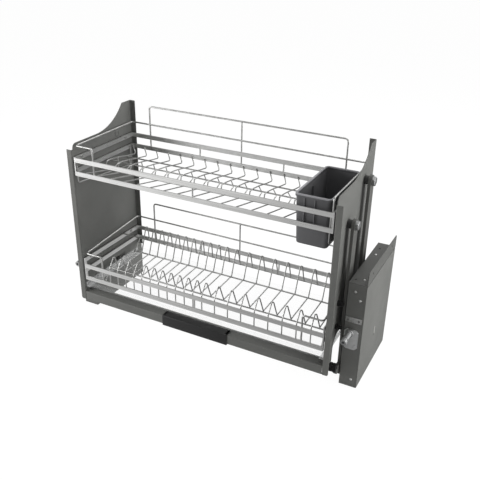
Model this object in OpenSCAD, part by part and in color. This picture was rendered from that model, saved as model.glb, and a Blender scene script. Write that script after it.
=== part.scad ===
// Pull-down dish rack for a wall cabinet: two side housings, four lift arms and a two-shelf rack.
// Lengths are in millimetres, +X to the right, +Y to the back, +Z up, stored closed in the cabinet.

/* [Overall] */
// Width over both side housings, the clear width of the cabinet
overall_w = 864; // [560:1:1200]
// Width of one side housing
housing_w = 46; // [40:0.5:70]
// Gap from a rack panel to the housing beside it
arm_gap = 22.5; // [21:0.5:32]
// Height of a side housing
housing_h = 298; // [240:1:420]
// Depth of a side housing
housing_d = 238; // [226:1:320]
// Distance from the front of the rack to the front of a housing
housing_setback = 72.5; // [66:0.5:76]
// Height of the rack's foot above the foot of the housings
rack_lift = 67; // [60:0.5:80]

/* [Side panels] */
// Sheet thickness of the rack's side panels
panel_t = 1.5; // [1:0.1:2.5]
// Depth of a side panel from front to back
panel_d = 263.5; // [240:0.5:330]
// Height of the front flange
flange_h = 450; // [420:1:560]
// Width of the front flange, which turns outwards
flange_w = 14.7; // [8:0.1:15]
// Width of the back flange, which turns inwards
back_flange_w = 15.9; // [8:0.1:22]
// Height of the panel's level top edge above its foot
shoulder_h = 465.5; // [456:0.5:600]
// Height of the panel's back corner above its foot
peak_h = 524; // [500:1:640]
// Depth of the level top edge before it sweeps up
shoulder_d = 105; // [60:1:140]
// Depth of the foot leg at the front
leg_d = 64.5; // [50:0.5:76]
// Height of the cut behind the foot leg
leg_h = 69; // [50:0.5:90]
// Radius of the cut behind the foot leg
leg_r = 38; // [10:1:44]

/* [Lift arms] */
// Length of an arm between its two pivots
arm_l = 407; // [340:1:440]
// Width of the arm bar
arm_w = 29; // [22:0.5:32]
// Thickness of the arm bar
arm_t = 7.4; // [5:0.1:8]
// Distance of the front arms behind the rack's front
arm_front_y = 94.5; // [86:0.5:110]
// Distance from the front arm to the rear arm
arm_pitch_y = 99.5; // [60:0.5:120]
// Rise from the front arm's pivots to the rear arm's pivots
arm_pitch_z = 75; // [40:1:100]
// Height of the front arm's lower pivot above the housing's foot
pivot_z = 29; // [20:0.5:40]
// Diameter of the pivot bolts at the top of the arms
bolt_d = 12; // [8:0.5:16]
// Diameter of the shafts at the foot of the arms
shaft_d = 14; // [10:0.5:18]
// Radial running clearance in the pivots
run_gap = 0.05; // [0.02:0.01:0.1]
// Distance across the flats of the bolt heads and nuts
hex_af = 21; // [16:0.5:26]
// Thickness of the bolt heads
bolt_head_t = 8; // [4:0.5:10]
// Pitch radius of the toothed sector on the rear arm's shaft
sector_r = 30; // [26:0.5:34]
// Number of teeth that the sector would have as a full wheel
sector_teeth = 24; // [20:1:30]
// Width of the toothed sector
sector_w = 12; // [8:0.5:16]

/* [Housings] */
// Sheet thickness of the housings
housing_t = 1.5; // [1:0.1:2.5]
// Height of the mounting tab above the housing
tab_h = 33.5; // [24:0.5:50]
// Diameter of the mounting screw holes in the tab
tab_hole_d = 5.5; // [4:0.1:8]
// Distance between the two mounting holes of a tab
tab_hole_pitch = 160; // [100:1:200]
// Diameter of the adjuster spindle
spindle_d = 16; // [12:0.5:20]
// Length that the spindle stands out of the housing
spindle_l = 50; // [30:1:62]
// Height of the spindle above the housing's foot
spindle_z = 162; // [156:0.5:180]
// Outer diameter of the lift cylinder in a housing
cylinder_d = 24; // [18:0.5:28]
// Length of the lift cylinder
cylinder_l = 112; // [90:1:130]
// Diameter of the lift cylinder's rod
rod_d = 8; // [6:0.5:12]
// Width of the adjuster's chrome plate
plate_w = 36; // [26:0.5:40]
// Height of the adjuster's chrome plate
plate_h = 58; // [40:1:80]
// Width of the gauge strip on the housing's front
gauge_w = 41; // [30:0.5:42]
// Height of the gauge strip
gauge_h = 14.5; // [10:0.5:20]

/* [Handle bar] */
// Height of the bar across the foot of the rack
bar_h = 26; // [18:0.5:36]
// Depth of the bar
bar_d = 30; // [20:0.5:44]
// Wall of the bar
bar_t = 1.5; // [1:0.1:3]
// Length of the moulded grip on the bar
grip_l = 197; // [120:1:300]
// Wall of the moulded grip
grip_t = 3; // [2:0.1:5]

/* [Shelves] */
// Height of the flat rails
rail_h = 12; // [8:0.5:18]
// Thickness of the flat rails
rail_t = 3; // [2:0.1:4]
// Height of the upper shelf's front rail top above the rack's foot
upper_z = 429.5; // [400:0.5:450]
// Height of the lower shelf's front rail top above the rack's foot
lower_z = 115.5; // [105:0.5:160]
// Distance between the tops of the upper and lower front rails
rail_pitch = 37.5; // [28:0.5:50]
// Rise from the lower shelf's front rails to its side and back bars
lower_rise = 18; // [8:0.5:26]
// Rise from the upper shelf's front rails to its side and back bars
upper_rise = 2; // [0:0.5:8]
// Distance between the tops of the two back bars of a shelf
back_pitch = 32.5; // [24:0.5:40]
// Diameter of the guard wires
guard_d = 4.5; // [3:0.1:6]
// Height of the side wire above the rail tops
side_wire_rise = 32; // [20:0.5:50]
// Height of the back guard above the back bar tops
guard_rise = 83; // [50:1:110]
// Distance from the shelf's side bars to the ends of the back guard
guard_end_in = 62; // [26:0.5:150]
// Diameter of the dish wires
wire_d = 3.2; // [2.4:0.1:4.5]
// Distance between two bowl wires
bowl_pitch = 40.3; // [34:0.1:60]
// Distance between two plate wires in the close rows
plate_pitch = 26.8; // [22:0.1:34]
// Distance between two plate wires in the wide rows
wide_pitch = 38; // [30:0.1:50]
// Height of the front teeth above the lower rail top
tooth_h = 37; // [20:0.5:60]

/* [Cutlery box] */
// Width of the cutlery box at its rim
box_w = 90; // [60:1:110]
// Length of the cutlery box from front to back
box_l = 204; // [140:1:222]
// Height of the cutlery box
box_h = 125; // [80:1:150]
// Wall of the cutlery box
box_t = 2.2; // [1.5:0.1:4]
// Inward slope of each wall from the rim to the floor
box_draft = 4.5; // [0:0.5:10]
// Height of the rim above the upper front rail's top
box_rim_rise = 23; // [10:0.5:40]

/* [Drip tray] */
// Depth of the drip tray's walls
tray_h = 18; // [8:0.5:20]
// Wall of the drip tray
tray_t = 1.8; // [1.2:0.1:3]

/* [Hidden] */
$fa = 6;
$fs = 0.6;
cut = 1;
wire_fn = 20;
turn_fn = 40;
seat_gap = 0.1;
weld = 0.3;
slide_gap = 0.4;
bend_reach = 0.3;
bend_swell = 0.08;

// places along X
half_w = overall_w / 2;
housing_in = half_w - housing_w;
panel_out = housing_in - arm_gap;
panel_in = panel_out - panel_t;
arm_out_gap = arm_gap * 0.145;
arm_out = housing_in - arm_out_gap;
arm_in = arm_out - arm_t;
spacer_t = arm_in - panel_out;

// places along Y, counted from the rack's front face and then centred
back_y = housing_setback + housing_d;
mid_y = (back_y - grip_t) / 2;
pivot_rear_y = arm_front_y + arm_pitch_y;
pivot_rear_z = pivot_z + arm_pitch_z;
pin_front_z = pivot_z + arm_l;
pin_rear_z = pivot_rear_z + arm_l;

// places of the shelves
rail_y = rail_t;
rail_back_y = rail_y + rail_t;
end_gap = 6;
frame_out = panel_in - rail_t;
frame_in = frame_out - rail_t;
back_bar_y = panel_d - end_gap - rail_t;
back_face_y = back_bar_y + rail_t;
upper_top = rack_lift + upper_z;
lower_top = rack_lift + lower_z;
upper_low = upper_top - rail_pitch;
lower_low = lower_top - rail_pitch;
upper_back = upper_top + upper_rise;
lower_back = lower_top + lower_rise;
guard_half_w = frame_in - guard_end_in;

module place() {
    translate([0, -mid_y, 0])
        children();
}

module flip_x() {
    mirror([1, 0, 0])
        children();
}

module both() {
    children();
    flip_x()
        children();
}

// a bar of given size from its low corner
module block(at, size) {
    translate(at)
        cube(size);
}

// a round bar along X, Y or Z from a point
module bar_x(at, d, l) {
    translate(at)
        rotate([0, 90, 0])
            cylinder(d = d, h = l);
}

module bar_y(at, d, l) {
    translate(at)
        rotate([-90, 0, 0])
            cylinder(d = d, h = l);
}

module bar_z(at, d, l) {
    translate(at)
        cylinder(d = d, h = l);
}

// a plate in the YZ plane, from x to x + t, with its outline in Y and Z
module side_plate(x, t) {
    multmatrix([[0, 0, 1, x], [1, 0, 0, 0], [0, 1, 0, 0], [0, 0, 0, 1]])
        linear_extrude(t)
            children();
}

// a hexagonal bar along X
module hex_x(at, af, l) {
    translate(at)
        rotate([0, 90, 0])
            cylinder(r = af / sqrt(3), h = l, $fn = 6);
}

// bent wire: straight lengths that run a little way into round bends, which are a hair thicker
function unit(v) = v / norm(v);
function turn_deg(u, v) = acos(max(-1, min(1, u * v)));
function back_off(u, v, r) = r * tan(turn_deg(u, v) / 2);
function reach_in(u, v, r) = min(bend_reach, 0.35 * r * turn_deg(u, v) * PI / 180);

module straight(a, b, d) {
    v = b - a;
    l = norm(v);
    translate(a)
        rotate([0, acos(v[2] / l), atan2(v[1], v[0])])
            cylinder(d = d, h = l, $fn = wire_fn);
}

module bend(p, u, v, d, r) {
    deg = turn_deg(u, v);
    n = unit(v - (u * v) * u);
    s = p - back_off(u, v, r) * u;
    c = s + r * n;
    e = cross(u, n);
    multmatrix([
        [-n[0], u[0], e[0], c[0]],
        [-n[1], u[1], e[1], c[1]],
        [-n[2], u[2], e[2], c[2]],
        [0, 0, 0, 1]])
        rotate_extrude(angle = deg, $fn = turn_fn)
            translate([r, 0])
                circle(d = d + bend_swell, $fn = wire_fn);
}

module wire(path, d, r) {
    n = len(path);
    dirs = [for (i = [0 : n - 2]) unit(path[i + 1] - path[i])];
    offs = [for (i = [0 : n - 1])
        i == 0 || i == n - 1 ? 0
            : back_off(dirs[i - 1], dirs[i], r) - reach_in(dirs[i - 1], dirs[i], r)];
    for (i = [0 : n - 2])
        straight(path[i] + offs[i] * dirs[i], path[i + 1] - offs[i + 1] * dirs[i], d);
    for (i = [1 : n - 2])
        bend(path[i], dirs[i - 1], dirs[i], d, r);
}

// side panels
panel_corner_r = 13;
panel_front_in = panel_t * 4;
panel_peak_d = 39.5;
sweep_x = panel_d - panel_peak_d - shoulder_d;
sweep_z = peak_h - shoulder_h;
sweep_r = (sweep_x * sweep_x + sweep_z * sweep_z) / (2 * sweep_z);
bend_r = 2 * panel_t;
flange_round = 5;

module panel_outline() {
    difference() {
        union() {
            translate([0, rack_lift])
                square([panel_d, flange_h]);
            translate([panel_front_in, rack_lift])
                square([panel_d - panel_front_in, shoulder_h - panel_corner_r]);
            translate([panel_front_in + panel_corner_r, rack_lift + shoulder_h - panel_corner_r])
                circle(r = panel_corner_r, $fn = turn_fn);
            translate([panel_front_in + panel_corner_r, rack_lift])
                square([panel_d - panel_front_in - panel_corner_r, shoulder_h]);
            translate([shoulder_d, rack_lift])
                square([panel_d - shoulder_d, peak_h]);
        }
        // the sweep up to the back corner
        intersection() {
            translate([shoulder_d, rack_lift + shoulder_h + sweep_r])
                circle(r = sweep_r, $fn = 160);
            translate([shoulder_d - cut, rack_lift + shoulder_h])
                square([sweep_x + cut, sweep_z + cut]);
        }
        // the cut behind the leg
        translate([leg_d + leg_r, rack_lift - cut])
            square([panel_d, leg_h + cut]);
        translate([leg_d, rack_lift - cut])
            square([leg_r + cut, leg_h - leg_r + cut]);
        translate([leg_d + leg_r, rack_lift + leg_h - leg_r])
            circle(r = leg_r, $fn = turn_fn * 2);
    }
}

module panel_section() {
    // web
    translate([panel_in, bend_r])
        square([panel_t, panel_d - 2 * bend_r]);
    // outward front flange
    translate([panel_in + bend_r, 0])
        square([flange_w + panel_t - bend_r, panel_t]);
    translate([panel_in + bend_r, bend_r])
        quarter_ring(bend_r, panel_t, 180);
    // inward back flange
    translate([panel_out - bend_r - back_flange_w - panel_t + bend_r, panel_d - panel_t])
        square([back_flange_w + panel_t - bend_r, panel_t]);
    translate([panel_out - bend_r, panel_d - bend_r])
        quarter_ring(bend_r, panel_t, 0);
}

module quarter_ring(r, t, deg) {
    rotate(deg)
        intersection() {
            difference() {
                circle(r = r, $fn = turn_fn);
                circle(r = r - t, $fn = turn_fn);
            }
            square([r, r]);
        }
}

module side_panel() {
    difference() {
        intersection() {
            translate([0, 0, rack_lift])
                linear_extrude(peak_h)
                    panel_section();
            side_plate(panel_in - back_flange_w - cut, back_flange_w + flange_w + panel_t + 2 * cut)
                panel_outline();
        }
        // rounded outer corner at the foot of the flange
        flange_corner();
        // pivot bolt holes
        for (p = [[arm_front_y, pin_front_z], [pivot_rear_y, pin_rear_z]])
            bar_x([panel_in - cut, p[0], p[1]], bolt_d + 2 * seat_gap, panel_t + 2 * cut);
        // shelf screw holes
        for (p = shelf_screw_places)
            bar_x([panel_in - cut, p[0], p[1]], screw_d + 2 * seat_gap, panel_t + 2 * cut);
        // bar bracket holes
        for (p = bracket_places)
            bar_x([panel_in - cut, p[0], p[1]], screw_d + 2 * seat_gap, panel_t + 2 * cut);
        for (p = [[runner_y1, runner_z + runner_h / 2], [runner_y2, runner_z + runner_h / 2]])
            bar_x([panel_in - cut, p[0], p[1]], screw_d + 2 * seat_gap, panel_t + 2 * cut);
    }
}

module flange_corner() {
    x = panel_out + flange_w;
    difference() {
        block([x - flange_round, -cut, rack_lift - cut],
            [flange_round + cut, panel_t + 2 * cut, flange_round + cut]);
        bar_y([x - flange_round, -2 * cut, rack_lift + flange_round], 2 * flange_round,
            panel_t + 4 * cut);
    }
}

module right_panel() {
    color([0.42, 0.42, 0.40])
        place()
            side_panel();
}

module left_panel() {
    color([0.42, 0.42, 0.40])
        place()
            flip_x()
                side_panel();
}

// screws that hold the shelves
screw_d = 4;
screw_head_d = 8;
screw_head_t = 2.4;
pan_d = 7;
pan_t = 1.6;
shelf_screw_y1 = 30;
shelf_screw_back = 42;
shelf_screw_y2 = panel_d - shelf_screw_back;
shelf_screw_places = [
    for (z = [upper_back - rail_h / 2, lower_back - rail_h / 2])
        for (y = [shelf_screw_y1, shelf_screw_y2])
            [y, z]];

module shelf_screw(p) {
    x = frame_in;
    bar_x([x - screw_head_t - seat_gap, p[0], p[1]], screw_head_d, screw_head_t);
    bar_x([x - screw_head_t - seat_gap, p[0], p[1]], screw_d,
        panel_out - x + screw_head_t + seat_gap);
    // spacer ring between the side bar and the panel
    bar_x([frame_out + seat_gap / 2, p[0], p[1]], screw_head_d, panel_in - frame_out - seat_gap);
}

module shelf_screws() {
    color([0.75, 0.75, 0.74])
        place()
            both()
                for (p = shelf_screw_places)
                    shelf_screw(p);
}

// handle bar, its brackets and the grip
bar_lip = 3;
bracket_t = 2;
bracket_w = 22;
bracket_l = 15;
bracket_y = 8;
bracket_h = 18;
bracket_top = rack_lift + bar_h - bar_t - seat_gap;
bracket_places = [[bracket_y + bracket_l / 2, bracket_top - bracket_h * 0.6]];
bar_end = panel_in - seat_gap;
bar_screw_in = 12;
bar_screw_x = bar_end - bar_screw_in;
bar_screw_y = bar_d * 0.5;

module bar_profile() {
    // a channel, open below, with a raised lip along its back edge
    square([bar_t, bar_h]);
    translate([0, bar_h - bar_t])
        square([bar_d, bar_t]);
    translate([bar_d - bar_t, bar_h - bar_d * 0.4])
        square([bar_t, bar_d * 0.4 + bar_lip]);
    square([bar_d * 0.25, bar_t]);
}

module handle_bar() {
    color([0.40, 0.40, 0.38])
        place()
            difference() {
                translate([0, 0, rack_lift])
                    side_plate(-bar_end, 2 * bar_end)
                        bar_profile();
                for (s = [-1, 1])
                    bar_z([s * bar_screw_x, bar_screw_y, rack_lift + bar_h - bar_t - cut],
                        screw_d + 2 * seat_gap, bar_t + 2 * cut);
            }
}

// angle under the bar's top that ties the bar to the panel
module bar_bracket() {
    difference() {
        union() {
            block([panel_in - seat_gap - bracket_t, bracket_y, bracket_top - bracket_h],
                [bracket_t, bracket_l, bracket_h]);
            block([panel_in - seat_gap - bracket_w, bracket_y, bracket_top - bracket_t],
                [bracket_w, bracket_l, bracket_t]);
        }
        for (p = bracket_places)
            bar_x([panel_in - bracket_t - cut, p[0], p[1]], screw_d + 2 * seat_gap,
                bracket_t + 2 * cut);
        bar_z([bar_screw_x, bar_screw_y, bracket_top - bracket_t - cut],
            screw_d + 2 * seat_gap, bracket_t + 2 * cut);
    }
}

module bar_brackets() {
    color([0.35, 0.35, 0.34])
        place()
            both()
                bar_bracket();
}

module bar_screws() {
    zh = bracket_top - bracket_t - seat_gap - screw_head_t;
    color([0.7, 0.7, 0.7])
        place()
            both() {
                bar_z([bar_screw_x, bar_screw_y, zh], screw_head_d, screw_head_t);
                bar_z([bar_screw_x, bar_screw_y, zh], screw_d, rack_lift + bar_h - zh);
                for (p = bracket_places) {
                    x = panel_in - seat_gap - bracket_t - seat_gap - screw_head_t;
                    bar_x([x, p[0], p[1]], screw_head_d, screw_head_t);
                    bar_x([x, p[0], p[1]], screw_d, panel_out - x);
                }
            }
}

grip_round = 4;

module grip_profile() {
    g = seat_gap;
    difference() {
        union() {
            translate([-grip_t, -grip_t + grip_round])
                square([bar_d * 0.72 + grip_t, bar_h + 2 * grip_t - 2 * grip_round]);
            translate([-grip_t + grip_round, -grip_t])
                square([bar_d * 0.72 + grip_t - 2 * grip_round, bar_h + 2 * grip_t]);
            for (p = [[-grip_t + grip_round, -grip_t + grip_round],
                    [-grip_t + grip_round, bar_h + grip_t - grip_round],
                    [bar_d * 0.72 - grip_round, bar_h + grip_t - grip_round],
                    [bar_d * 0.72 - grip_round, -grip_t + grip_round]])
                translate(p)
                    circle(r = grip_round, $fn = turn_fn);
        }
        translate([-g, -g])
            square([bar_d, bar_h + 2 * g]);
        // open below and behind, save for a short lip
        translate([bar_d * 0.3, -grip_t - cut])
            square([bar_d, bar_h]);
    }
}

module grip() {
    color([0.10, 0.10, 0.10])
        place()
            translate([0, 0, rack_lift])
                side_plate(-grip_l / 2, grip_l)
                    grip_profile();
}

// pivots at the top of the arms
module pivot_places() {
    for (p = [[arm_front_y, pin_front_z], [pivot_rear_y, pin_rear_z]])
        translate([0, p[0], p[1]])
            children();
}

nut_t = 7;
bolt_end = panel_in - nut_t - seat_gap - 1.5 * panel_t;
bolt_head_x = arm_out + slide_gap;

module pivot_bolts() {
    color([0.85, 0.85, 0.86])
        place()
            both()
                pivot_places() {
                    bar_x([bolt_end, 0, 0], bolt_d, bolt_head_x - bolt_end);
                    // head with a washer face
                    bar_x([bolt_head_x, 0, 0], hex_af * 1.08, bolt_head_t * 0.2);
                    hex_x([bolt_head_x, 0, 0], hex_af, bolt_head_t);
                }
}

module pivot_nuts() {
    color([0.7, 0.7, 0.7])
        place()
            both()
                pivot_places()
                    difference() {
                        hex_x([panel_in - seat_gap - nut_t, 0, 0], hex_af, nut_t);
                        bar_x([panel_in - nut_t - cut - seat_gap, 0, 0], bolt_d + 2 * run_gap,
                            nut_t + 2 * cut);
                    }
}

module pivot_spacers() {
    color([0.08, 0.08, 0.08])
        place()
            both()
                pivot_places()
                    difference() {
                        bar_x([panel_out + seat_gap, 0, 0], bolt_d * 1.75,
                            spacer_t - seat_gap - slide_gap);
                        bar_x([panel_out - cut, 0, 0], bolt_d + 2 * run_gap, spacer_t + 2 * cut);
                    }
}

// lift arms
nose_reach = 38;
nose_top = 29;
nose_low = 8;
nose_tip = 7;
bumper_d = 24;
bumper_hole_d = 6;
bumper_z = rack_lift - seat_gap * 3 - bumper_d / 2 - pivot_z;

module arm(with_nose) {
    difference() {
        union() {
            bar_x([arm_in, 0, 0], arm_w, arm_t);
            block([arm_in, -arm_w / 2, 0], [arm_t, arm_w, arm_l]);
            bar_x([arm_in, 0, arm_l], arm_w, arm_t);
            if (with_nose)
                side_plate(arm_in, arm_t)
                    polygon([[0, -arm_w / 2 + nose_low], [-nose_reach, nose_low],
                        [-nose_reach - nose_tip, nose_low + nose_tip],
                        [-nose_reach - nose_tip, nose_top - nose_tip],
                        [-nose_reach, nose_top], [0, nose_top]]);
        }
        if (with_nose)
            bar_x([arm_in - cut, -nose_reach, bumper_z], bumper_hole_d + 2 * seat_gap,
                arm_t + 2 * cut);
        bar_x([arm_in - cut, 0, arm_l], bolt_d + 2 * run_gap, arm_t + 2 * cut);
        bar_x([arm_in - cut, 0, 0], shaft_d + 2 * seat_gap, arm_t + 2 * cut);
    }
}

module front_place() {
    translate([0, arm_front_y, pivot_z])
        children();
}

module rear_place() {
    translate([0, pivot_rear_y, pivot_rear_z])
        children();
}

module right_front_arm() {
    color([0.34, 0.34, 0.33])
        place()
            front_place()
                arm(true);
}

module left_front_arm() {
    color([0.34, 0.34, 0.33])
        place()
            flip_x()
                front_place()
                    arm(true);
}

module right_rear_arm() {
    color([0.34, 0.34, 0.33])
        place()
            rear_place()
                arm(false);
}

module left_rear_arm() {
    color([0.34, 0.34, 0.33])
        place()
            flip_x()
                rear_place()
                    arm(false);
}

// shafts at the foot of the arms, which turn in the housings' bushings
collar_t = 3;
collar_wall = 4;
collar_d = shaft_d + 2 * collar_wall;
shaft_in = arm_in - collar_t;
bush_t = 4;
bush_wall = 2;
bush_neck_d = shaft_d + 2 * bush_wall;
bush_d = collar_d;
shaft_far = half_w - housing_t - shaft_d;

module shaft(far_end) {
    bar_x([shaft_in, 0, 0], shaft_d, far_end - shaft_in);
    // outer collar that the arm is welded to
    bar_x([shaft_in - seat_gap, 0, 0], collar_d, collar_t);
    // retaining collar inside the housing
    bar_x([housing_in + housing_t + bush_t + 2 * slide_gap, 0, 0], collar_d, collar_t);
}

module front_shaft() {
    front_place()
        shaft(housing_in + housing_w * 0.5);
}

module rear_shaft() {
    rear_place()
        shaft(shaft_far);
}

module right_front_shaft() {
    color([0.6, 0.6, 0.6])
        place()
            front_shaft();
}

module left_front_shaft() {
    color([0.6, 0.6, 0.6])
        place()
            flip_x()
                front_shaft();
}

module right_rear_shaft() {
    color([0.6, 0.6, 0.6])
        place()
            rear_shaft();
}

module left_rear_shaft() {
    color([0.6, 0.6, 0.6])
        place()
            flip_x()
                rear_shaft();
}

module shaft_bushings() {
    color([0.9, 0.88, 0.8])
        place()
            both()
                for (p = [[arm_front_y, pivot_z], [pivot_rear_y, pivot_rear_z]])
                    translate([0, p[0], p[1]])
                        difference() {
                            union() {
                                bar_x([housing_in - slide_gap, 0, 0], bush_neck_d,
                                    housing_t + bush_t + slide_gap);
                                bar_x([housing_in + housing_t + seat_gap, 0, 0], bush_d,
                                    bush_t - seat_gap);
                            }
                            bar_x([housing_in - cut - slide_gap, 0, 0], shaft_d + 2 * run_gap,
                                housing_t + bush_t + 3 * cut);
                        }
}

// toothed sector and toothed rod: the lift drive
tooth_module = 2 * sector_r / sector_teeth;
addendum_share = 0.9;
dedendum_share = 1.2;
backlash = 0.35;
sector_x = housing_in + housing_t + bush_t + collar_t + 3 * slide_gap;
pressure_deg = 20;
base_r = sector_r * cos(pressure_deg);
tip_r = sector_r + addendum_share * tooth_module;
root_r = sector_r - dedendum_share * tooth_module;
tooth_steps = 5;

// angle on the involute from the base circle, at radius r
function inv_deg(r) =
    r <= base_r ? 0 : sqrt(r * r / (base_r * base_r) - 1) * 180 / PI - acos(base_r / r);
half_tooth_deg = (PI * tooth_module / 4 - backlash / 4) / sector_r * 180 / PI;
function flank_deg(r) = half_tooth_deg + inv_deg(sector_r) - inv_deg(r);
function polar(r, a) = [r * sin(a), r * cos(a)];
start_r = max(base_r, root_r);
radii = [for (i = [0 : tooth_steps]) start_r + (tip_r - start_r) * i / tooth_steps];

// teeth lie ahead of and behind the mesh point at the top of the sector
teeth_ahead = 2;
teeth_behind = 8;
step_deg = 360 / sector_teeth;

function tooth_points(c) = concat(
    [polar(root_r, c - flank_deg(start_r))],
    [for (r = radii) polar(r, c - flank_deg(r))],
    [for (i = [0 : tooth_steps])
        polar(radii[tooth_steps - i], c + flank_deg(radii[tooth_steps - i]))],
    [polar(root_r, c + flank_deg(start_r))]);

function all_teeth() = [
    for (i = [-teeth_ahead : teeth_behind])
        each tooth_points(i * step_deg)];

module sector() {
    rear_place()
        difference() {
            union() {
                side_plate(sector_x, sector_w)
                    polygon(concat([[0, 0]], all_teeth()));
                bar_x([sector_x, 0, 0], shaft_d * 1.7, sector_w);
            }
            bar_x([sector_x - cut, 0, 0], shaft_d + 2 * seat_gap, sector_w + 2 * cut);
        }
}

module right_sector() {
    color([0.55, 0.5, 0.4])
        place()
            sector();
}

module left_sector() {
    color([0.55, 0.5, 0.4])
        place()
            flip_x()
                sector();
}

rack_pitch = PI * tooth_module;
rack_line_z = pivot_rear_z + sector_r;
rack_ahead_n = 1;
rack_behind_n = 8;
rack_body_h = 9;
rack_low = rack_line_z - addendum_share * tooth_module;
rack_root = rack_line_z + dedendum_share * tooth_module;
rack_front_y = pivot_rear_y - (rack_ahead_n + 1) * rack_pitch;
rack_back_y = pivot_rear_y + (rack_behind_n + 1) * rack_pitch;
rod_z = spindle_z;
spindle_x = sector_x + sector_w / 2;
plug_t = 8;
cylinder_y = housing_setback + housing_t + plug_t + seat_gap;
cylinder_end = cylinder_y + cylinder_l;
rod_in = 30;

// a straight rack tooth that points down, centred on a gap of the sector
module rack_tooth() {
    w = rack_pitch / 2 - backlash / 2;
    top_w = w + 2 * (rack_root - rack_line_z) * tan(pressure_deg);
    low_w = w - 2 * (rack_line_z - rack_low) * tan(pressure_deg);
    polygon([[-low_w / 2, rack_low], [low_w / 2, rack_low],
        [top_w / 2, rack_root + seat_gap], [-top_w / 2, rack_root + seat_gap]]);
}

module rack_rod() {
    side_plate(sector_x + slide_gap, sector_w - 2 * slide_gap) {
        translate([rack_front_y, rack_root])
            square([rack_back_y - rack_front_y, rack_body_h]);
        for (i = [-rack_ahead_n : rack_behind_n])
            translate([pivot_rear_y + (i + 0.5) * rack_pitch, 0])
                rack_tooth();
        // upright at the back end that carries the rod
        translate([rack_back_y - rod_d, rack_root])
            square([rod_d, rod_z + rod_d - rack_root]);
    }
    bar_y([spindle_x, cylinder_end - rod_in, rod_z], rod_d,
        rack_back_y - rod_d / 2 - cylinder_end + rod_in);
}

module right_rack_rod() {
    color([0.7, 0.7, 0.72])
        place()
            rack_rod();
}

module left_rack_rod() {
    color([0.7, 0.7, 0.72])
        place()
            flip_x()
                rack_rod();
}

cylinder_wall = 2;

module lift_cylinder() {
    difference() {
        bar_y([spindle_x, cylinder_y, rod_z], cylinder_d, cylinder_l);
        bar_y([spindle_x, cylinder_y + cylinder_wall, rod_z], cylinder_d - 2 * cylinder_wall,
            cylinder_l - 2 * cylinder_wall);
        bar_y([spindle_x, cylinder_end - cylinder_wall - cut, rod_z], rod_d + 2 * slide_gap,
            cylinder_wall + 2 * cut);
    }
    // saddle that seats the cylinder on the housing's inner wall
    difference() {
        block([housing_in + housing_t + seat_gap, cylinder_y + cylinder_l * 0.35,
                rod_z - cylinder_d * 0.35],
            [spindle_x - housing_in - housing_t, cylinder_l * 0.2, cylinder_d * 0.7]);
        bar_y([spindle_x, cylinder_y, rod_z], cylinder_d - cylinder_wall, cylinder_l);
    }
}

module lift_cylinders() {
    color([0.15, 0.15, 0.16])
        place()
            both()
                lift_cylinder();
}

// places of the adjuster's plate and of the gauge strip above it
plate_t = 2;
plate_chamfer = 7;
plate_side = 1.2;
plate_over = 1;
plate_x = housing_in + plate_side;
plate_low = spindle_z - plate_h + spindle_d / 2 + plate_over;
gauge_t = 1.2;
gauge_rise = 19;
gauge_side = 1;
gauge_x = housing_in + gauge_side;
gauge_z = plate_low + plate_h + gauge_rise;
gauge_screw_shares = [0.17, 0.83];

// housings
hole_y1 = housing_setback + (housing_d - tab_hole_pitch) / 2;
tab_z = housing_h + tab_h * 0.5;
tab_chamfer = 4;
slot_w = 10;
slot_h = 26;

module housing() {
    t = housing_t;
    x1 = half_w;
    y1 = housing_setback;
    difference() {
        union() {
            // inner wall
            block([housing_in, y1, 0], [t, housing_d, housing_h]);
            // front, back, top and bottom walls
            block([housing_in, y1, 0], [housing_w - t - seat_gap, t, housing_h]);
            block([housing_in, y1 + housing_d - t, 0], [housing_w - t - seat_gap, t, housing_h]);
            block([housing_in, y1, 0], [housing_w - t - seat_gap, housing_d, t]);
            block([housing_in, y1, housing_h - t], [housing_w, housing_d, t]);
            // mounting tab that stands up along the outer edge
            side_plate(x1 - t, t)
                tab_outline();
            // bosses for the cover's screws
            for (p = cover_screw_places)
                bar_x([housing_in + t / 2, p[0], p[1]], boss_d, housing_w - 1.5 * t - seat_gap);
        }
        // shaft holes
        for (p = [[arm_front_y, pivot_z], [pivot_rear_y, pivot_rear_z]])
            bar_x([housing_in - cut, p[0], p[1]], bush_neck_d + 2 * run_gap, t + 2 * cut);
        // adjuster spindle hole
        bar_y([spindle_x, y1 - cut, spindle_z], spindle_core_d + 2 * slide_gap, t + 2 * cut);
        // screw holes in the front and top
        for (p = front_screw_places)
            bar_y([p[0], y1 - cut, p[1]], screw_d, t + 2 * cut);
        for (p = top_screw_places)
            bar_z([p[0], p[1], housing_h - t - cut], screw_d, t + 2 * cut);
        // round vents in the top
        for (p = top_hole_places)
            bar_z([p[0], p[1], housing_h - t - cut], screw_d * 1.2, t + 2 * cut);
        // mounting holes
        for (y = [hole_y1, hole_y1 + tab_hole_pitch])
            bar_x([x1 - t - cut, y, tab_z], tab_hole_d, t + 2 * cut);
        // threads for the cover's screws
        for (p = cover_screw_places)
            bar_x([half_w - t - seat_gap - boss_bore_l, p[0], p[1]], screw_d + 2 * seat_gap,
                boss_bore_l + cut);
    }
}

module tab_outline() {
    c = tab_chamfer;
    y1 = housing_setback;
    y2 = housing_setback + housing_d;
    polygon([[y1, housing_h - housing_t], [y2, housing_h - housing_t], [y2, housing_h + tab_h - c],
        [y2 - c, housing_h + tab_h], [y1 + c, housing_h + tab_h], [y1, housing_h + c]]);
}

boss_d = 9;
boss_bore_l = 12;
boss_inset = 8;
cover_screw_places = [
    [housing_setback + boss_inset, housing_h - boss_inset],
    [housing_setback + housing_d - boss_inset, housing_h - boss_inset],
    [housing_setback + boss_inset, boss_inset + boss_d / 2],
    [housing_setback + housing_d - boss_inset, boss_inset + boss_d / 2]];
foot_screw_z = 22;
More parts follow.
